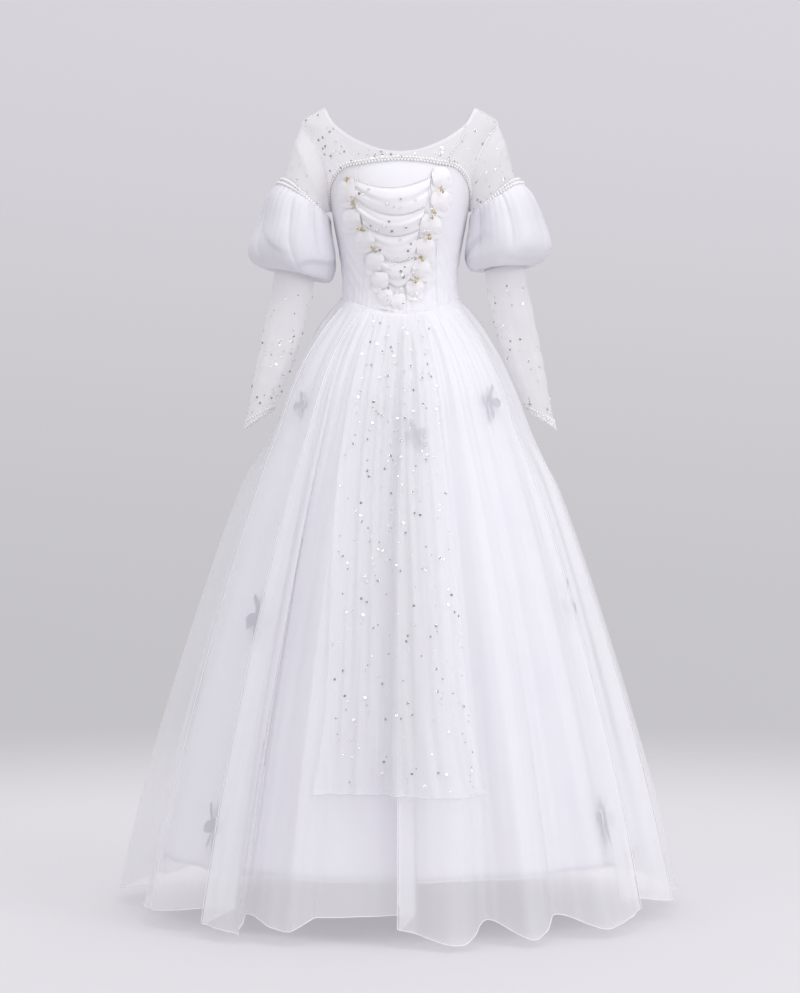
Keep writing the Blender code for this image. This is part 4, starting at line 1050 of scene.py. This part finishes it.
# The front panel: a straight length of sequinned mesh gathered into the waist seam over the
# organza, lying along its folds and ending in a fine rolled edge well above the hem.
panel_edges = np.array([
    # height, degrees of its right edge and of its left
    (-0.900, -19.3, 19.8),
    (-0.795, -18.4, 17.2),
    (-0.530, -19.8, 17.0),
    (-0.305, -22.9, 17.7),
    (-0.210, -23.5, 17.9),
    (-0.110, -24.0, 20.0),
    (-0.025, -30.0, 30.0),
])
panel_hem = -0.872
panel_off, panel_roll_radius = 0.0040, 0.0006
panel_mesh = sheer("panel_mesh", (0.94, 0.935, 0.95), 0.30, 0.12, 0.0010, 0.5, 0.55)


def outermost_organza(cloth_grid, angles, height, window):
    """How far out the organza's outermost layer comes near each angle at a height."""
    angle = np.arctan2(cloth_grid[..., 0], -cloth_grid[..., 1])
    far = np.hypot(cloth_grid[..., 0], cloth_grid[..., 1])
    out = []
    fallen = -cloth_grid[..., 2]
    for a, h in zip(angles, height):
        row = np.array([np.interp(-h, column, np.arange(len(column))) for column in fallen.T])
        low = np.minimum(row.astype(int), len(cloth_grid) - 2)
        t = row - low
        columns = np.arange(cloth_grid.shape[1])
        at = angle[low, columns] * (1 - t) + angle[low + 1, columns] * t
        away = far[low, columns] * (1 - t) + far[low + 1, columns] * t
        out.append(away[np.abs(at - a) < window].max())
    return np.array(out)


front_organza = organza_cloth(13.0, 25.0, np.linspace(0, 0.84, 40))[:, ::2]
panel_rows, panel_columns = 40, 60
panel_points = []
for v in np.linspace(0, panel_hem / organza_hem, panel_rows):
    level = -waist_point_drop + (organza_hem + waist_point_drop) * v
    first = math.radians(curve_through(panel_edges, 1, level))
    last = math.radians(curve_through(panel_edges, 2, level))
    angle = np.linspace(first, last, panel_columns)
    top = waist_seam(angle) - 0.003
    height = top + (organza_hem - top) * v
    away = outermost_organza(front_organza, angle, height, 0.028)
    soft = np.convolve(np.pad(away, 2, mode="edge"), (0.1, 0.2, 0.4, 0.2, 0.1), mode="valid")
    across = np.linspace(0, 1, panel_columns)
    frills = 0.0022 * np.sin(58 * across + 2.5 * math.sin(4 * v))
    frills = frills + 0.0014 * np.sin(97 * across + 6 * v)
    away = np.maximum(soft, away) + panel_off + frills * min(1.0, 0.25 + 3 * v)
    panel_points.append(np.stack([away * np.sin(angle), -away * np.cos(angle), height], axis=-1))
panel_grid = np.stack(panel_points)
sew_cloth("front_panel_mesh", panel_grid, panel_mesh, "front_panel", "sequinned_panel",
          turned=True)
rolled_edge("front_panel_edge", panel_grid[-1], panel_roll_radius, rolled_hem,
            "sequinned_panel")

# The seams that show: a narrow tape over each armhole and shoulder seam, and a fine piping
# along the waist seam and in both princess seams, all of the bodice's own white.
waist_piping_radius, princess_piping_radius = 0.0012, 0.0010
armhole_tape_radius, shoulder_tape_radius = 0.0008, 0.0007
seam_tape = satin("seam_tape", (0.93, 0.925, 0.95), (0.90, 0.89, 0.92), 0.5, 0.3, 0.0002, 90.0)
around = np.linspace(-math.pi, math.pi, 360)
rolled_edge("waist_piping", on_the_body(around, waist_seam(around), 0.0010), waist_piping_radius,
            seam_tape, "bodice_satin")
for side, mirror in (("left", 1), ("right", -1)):
    rising = np.linspace(0, 1, 60)
    angle = np.radians(princess_low + (princess_high - princess_low) * rising)
    height = waist_seam(angle) + (bodice_top(angle) - waist_seam(angle)) * rising
    line = on_the_body(angle, height, 0.0002) * (mirror, 1, 1)
    rolled_edge(f"princess_seam_{side}_piping", line, princess_piping_radius, seam_tape,
                "bodice_satin")
    for place, front in (("front", True), ("back", False)):
        angle, height = armhole_place(np.linspace(0.02, 1, 60), front)
        line = on_the_body(angle, height, 0.0009) * (mirror, 1, 1)
        rolled_edge(f"armhole_{place}_{side}_tape", line, armhole_tape_radius, seam_tape,
                    "sheer_mesh")
    shoulder_height = np.linspace(0.331, 0.349, 30)
    line = on_the_body(np.full(30, math.pi / 2), shoulder_height, 0.0008) * (mirror, 1, 1)
    rolled_edge(f"shoulder_{side}_tape", line, shoulder_tape_radius, seam_tape, "sheer_mesh")

# Sequins: small cupped silver discs of two sizes, each sewn down by its middle and tipped a little
# its own way. Half of them carry a dark ring of painted shade round the cup and a painted highlight
# at the rim, and the other half are painted bright all over as glints. They are scattered over the
# mesh and the swags, and stand in loose groups on the front panel.
sequin_finish, nodes, links, shader = new_finish("silver_sequin", Metallic=0.75, Roughness=0.2)
from_hole = add_node(nodes, "SeparateXYZ")
links.new(add_node(nodes, "TexCoord").outputs["UV"], from_hole.inputs[0])
# The colour runs from the hole out to the rim: silver grey in the middle, a dark ring of painted
# shade round the cup and a painted highlight at the rim.
painted_shade_ring = (0.15, 0.145, 0.155)
tone = colour_ramp(nodes, links, from_hole.outputs["X"], (0.30, (0.80, 0.79, 0.80)),
                   (0.86, (0.96, 0.94, 0.92)), (0.42, painted_shade_ring), (0.70, painted_shade_ring))
links.new(tone.outputs["Color"], shader.inputs["Base Color"])
sequin_sides = 8
sequin_rings = ((1.0, 0.0), (0.62, 0.16), (0.40, 0.02), (0.0, -0.04))
large_sequin, small_sequin, sequin_off = 0.0027, 0.0014, 0.0010
panel_large_sequin, panel_small_sequin = 0.0028, 0.0016
panel_sequin_rows, panel_sequin_columns = 46, 6
sequins_on_a_sleeve = 190
sequin_chance = np.random.default_rng(23)


def sew_sequins(name, places, normals, radii, slot, tip=0.24):
    """Small cupped discs lying on the cloth at the given places."""
    points, corners, spread = [], [], []
    turn = np.linspace(0, 2 * math.pi, sequin_sides, endpoint=False)
    for place, normal, radius in zip(places, normals, radii):
        normal = normal + sequin_chance.normal(0, tip, 3)
        normal = normal / np.linalg.norm(normal)
        side = np.cross(normal, (0.3, 0.2, 0.93))
        side = side / np.linalg.norm(side)
        other = np.cross(normal, side)
        start = len(points)
        # Half the sequins are painted bright all over, as painted glints, with no dark ring.
        plain = sequin_chance.uniform() < 0.5
        for share, rise in sequin_rings[:-1]:
            for angle in turn:
                spot = place + radius * share * (math.cos(angle) * side + math.sin(angle) * other)
                points.append(spot + normal * radius * rise)
                spread.append(1.0 if plain else share)
        points.append(place + normal * radius * sequin_rings[-1][1])
        spread.append(1.0 if plain else 0.0)
        for k in range(sequin_sides):
            m = (k + 1) % sequin_sides
            for ring in range(2):
                here = start + ring * sequin_sides
                above = here + sequin_sides
                corners.append((here + k, here + m, above + m, above + k))
            inner = start + 2 * sequin_sides
            corners.append((inner + k, inner + m, start + 3 * sequin_sides))
    piece = make_piece(name, np.array(points), corners, sequin_finish)
    spread = np.array(spread)
    lay_out(piece, np.stack([spread, spread * 0], axis=-1))
    fasten(piece, slot)


def on_cloth(grid, u, v):
    """Places on a grid of cloth at shares across and down it, and the directions off it."""
    rows, columns = grid.shape[0] - 1, grid.shape[1] - 1
    i = np.minimum((v * rows).astype(int), rows - 1)
    j = np.minimum((u * columns).astype(int), columns - 1)
    a, b = (v * rows - i)[:, None], (u * columns - j)[:, None]
    place = ((1 - a) * ((1 - b) * grid[i, j] + b * grid[i, j + 1])
             + a * ((1 - b) * grid[i + 1, j] + b * grid[i + 1, j + 1]))
    normal = np.cross(grid[i, j + 1] - grid[i, j], grid[i + 1, j] - grid[i, j])
    return place, -normal / np.linalg.norm(normal, axis=-1, keepdims=True)


def face_out(places, normals, outward, off):
    """Turns each direction to the outer side, and moves each place off the cloth that way."""
    side = np.sign((normals * outward).sum(1, keepdims=True))
    return places + normals * side * off, normals * side


def large_or_small(count):
    return np.where(sequin_chance.uniform(size=count) < 0.5, large_sequin, small_sequin)


panel_u, panel_v = [], []
for row in range(panel_sequin_rows):
    for column in range(panel_sequin_columns):
        spot_u = (column + sequin_chance.uniform(0.05, 0.95)) / panel_sequin_columns
        spot_v = 0.02 + 0.97 * (row + sequin_chance.uniform(0.0, 1.0)) / panel_sequin_rows
        in_row = 1 + int(sequin_chance.uniform() < 0.30) + int(sequin_chance.uniform() < 0.12)
        heading = sequin_chance.uniform(0, 6.28)
        if sequin_chance.uniform() < 0.16 + 0.10 * math.sin(7 * spot_v + 5 * spot_u):
            continue
        for step in range(in_row):
            u_now = spot_u + 0.040 * step * math.cos(heading)
            v_now = spot_v + 0.012 * step * math.sin(heading)
            if 0.01 < u_now < 0.99 and 0.01 < v_now < 0.995:
                panel_u.append(u_now)
                panel_v.append(v_now)
panel_u, panel_v = np.array(panel_u), np.array(panel_v)
places, normals = on_cloth(panel_grid, panel_u, panel_v)
places, normals = face_out(places - normals * 0.0012, normals, (0, -1, 0), 0.0024)
radii = np.where(sequin_chance.uniform(size=len(places)) < 0.55, panel_large_sequin,
                 panel_small_sequin)
sew_sequins("front_panel_sequins", places, normals, radii, "sequinned_panel")

for node, grid, count in (("yoke_front", both_halves(front_yoke), 84),
                          ("yoke_back_left", back_yoke, 40),
                          ("yoke_back_right", back_yoke * (-1, 1, 1), 40)):
    u, v = sequin_chance.uniform(0.01, 0.99, count), sequin_chance.uniform(0.03, 0.97, count)
    places, normals = on_cloth(grid, u, v)
    places, normals = face_out(places, normals, places * (1, 1, 0), sequin_off)
    sew_sequins(node + "_sequins", places, normals, large_or_small(count), "sheer_mesh")

for side, mirror in (("left", 1), ("right", -1)):
    grid = sleeve_grid * (mirror, 1, 1)
    u = sequin_chance.uniform(0, 1, sequins_on_a_sleeve)
    v = sequin_chance.uniform(0.02, 0.96, sequins_on_a_sleeve)
    share = (v * (len(grid) - 1) - sleeve_head_rows) / (sleeve_rows - 1)
    open_air = (share < puff_top_share - 0.03) | (share > puff_foot_share + 0.03)
    u, v = u[open_air], v[open_air]
    places, normals = on_cloth(ring_closed(grid), u, v)
    axis_x = mirror * np.interp(v, (0, 1), (0.17, 0.262))
    from_axis = (places - np.stack([axis_x, 0 * v - 0.015, 0 * v], axis=-1)) * (1, 1, 0)
    places, normals = face_out(places, normals, from_axis, sequin_off)
    sew_sequins(f"sleeve_{side}_sequins", places, normals, large_or_small(len(places)),
                "sheer_mesh")

swag_spots, swag_ways = [], []


def place_in_front(x, height, outward):
    angle = math.asin(float(x / curve_through(body_sections, 1, height)))
    swag_spots.append(in_front(x, height, outward))
    swag_ways.append(off_the_body(angle, height))


for number in range(4):
    for _ in range(8 - number):
        u, v = sequin_chance.uniform(0.06, 0.94), sequin_chance.uniform(0.1, 0.9)
        place_in_front(*swag_place(number, u, v), swag_stand_off(number, u, v) + 0.0016)
for _ in range(14):
    x, height = sequin_chance.uniform(-0.026, 0.030), sequin_chance.uniform(-0.030, 0.070)
    place_in_front(x, height, stone_off)
radii = sequin_chance.uniform(0.0022, 0.0030, len(swag_spots))
sew_sequins("swag_sequins", np.array(swag_spots), np.array(swag_ways), radii, "chiffon")

# Blossoms: loose four-petalled flowers of organza, cut to a point at each petal and tacked by
# their middles to the satin, so that they show through the overskirt as crumpled grey shapes.
blossoms = np.array([
    # degrees, height, half width, half height, turn in degrees
    (-48.5, -0.590, 0.026, 0.046, 12.0), (67.0, -0.567, 0.027, 0.050, -14.0),
    (-51.5, -0.955, 0.024, 0.044, 8.0), (59.0, -0.948, 0.026, 0.046, -10.0),
    (49.5, -0.202, 0.020, 0.036, -18.0), (6.6, -0.263, 0.020, 0.030, 20.0),
    (-57.0, -0.205, 0.018, 0.026, 15.0), (-112.0, -0.760, 0.026, 0.046, -12.0),
    (112.0, -0.700, 0.026, 0.046, 14.0), (-150.0, -0.430, 0.022, 0.040, 10.0),
    (152.0, -0.880, 0.026, 0.046, -8.0), (170.0, -0.360, 0.020, 0.036, 16.0),
])
full_blossom, blossom_edge_radius = 0.046, 0.0009
blossom_organza = sheer("blossom_organza", (0.43, 0.42, 0.49), 0.88, 0.10, 0.0007, 0.2, 0.5)
blossom_edge = satin("blossom_edge", (0.97, 0.97, 1.0), (0.94, 0.94, 0.97), 0.5, 0.4, 0.0002,
                     90.0)
for number, (degrees, height, half_width, half_height, turned_by) in enumerate(blossoms, start=1):
    centre, turn = math.radians(degrees), math.radians(turned_by)
    share, around = spread_round(0.04, 14, 120)
    tips = np.abs(np.cos(2 * around + 0.25 * np.sin(around + number)))
    lobes = 0.34 + 0.66 * tips**1.3
    aside = half_width * lobes * share * np.cos(around)
    up = half_height * lobes * share * np.sin(around)
    across = aside * math.cos(turn) - up * math.sin(turn)
    level = height + aside * math.sin(turn) + up * math.cos(turn)
    radius = float(np.hypot(*on_the_satin(centre, height)[:2]))
    crumple = 0.0022 * np.sin(5 * around + number) * share + 0.0012 * np.sin(11 * around) * share**2
    curl = (half_height / full_blossom) ** 2
    lift = 0.0040 + (0.0110 * share**2 * tips + crumple) * min(curl, 1.0)
    grid = on_the_satin(centre + across / radius, level, lift)
    sew_cloth(f"blossom_{number}_organza", grid, blossom_organza, f"blossom_{number}",
              "skirt_organza", closed=True, turned=True, cut=petal_cut(grid))
    rim = np.concatenate([grid[-1], grid[-1][:1]])
    rolled_edge(f"blossom_{number}_edge", rim, blossom_edge_radius, blossom_edge, "skirt_organza")
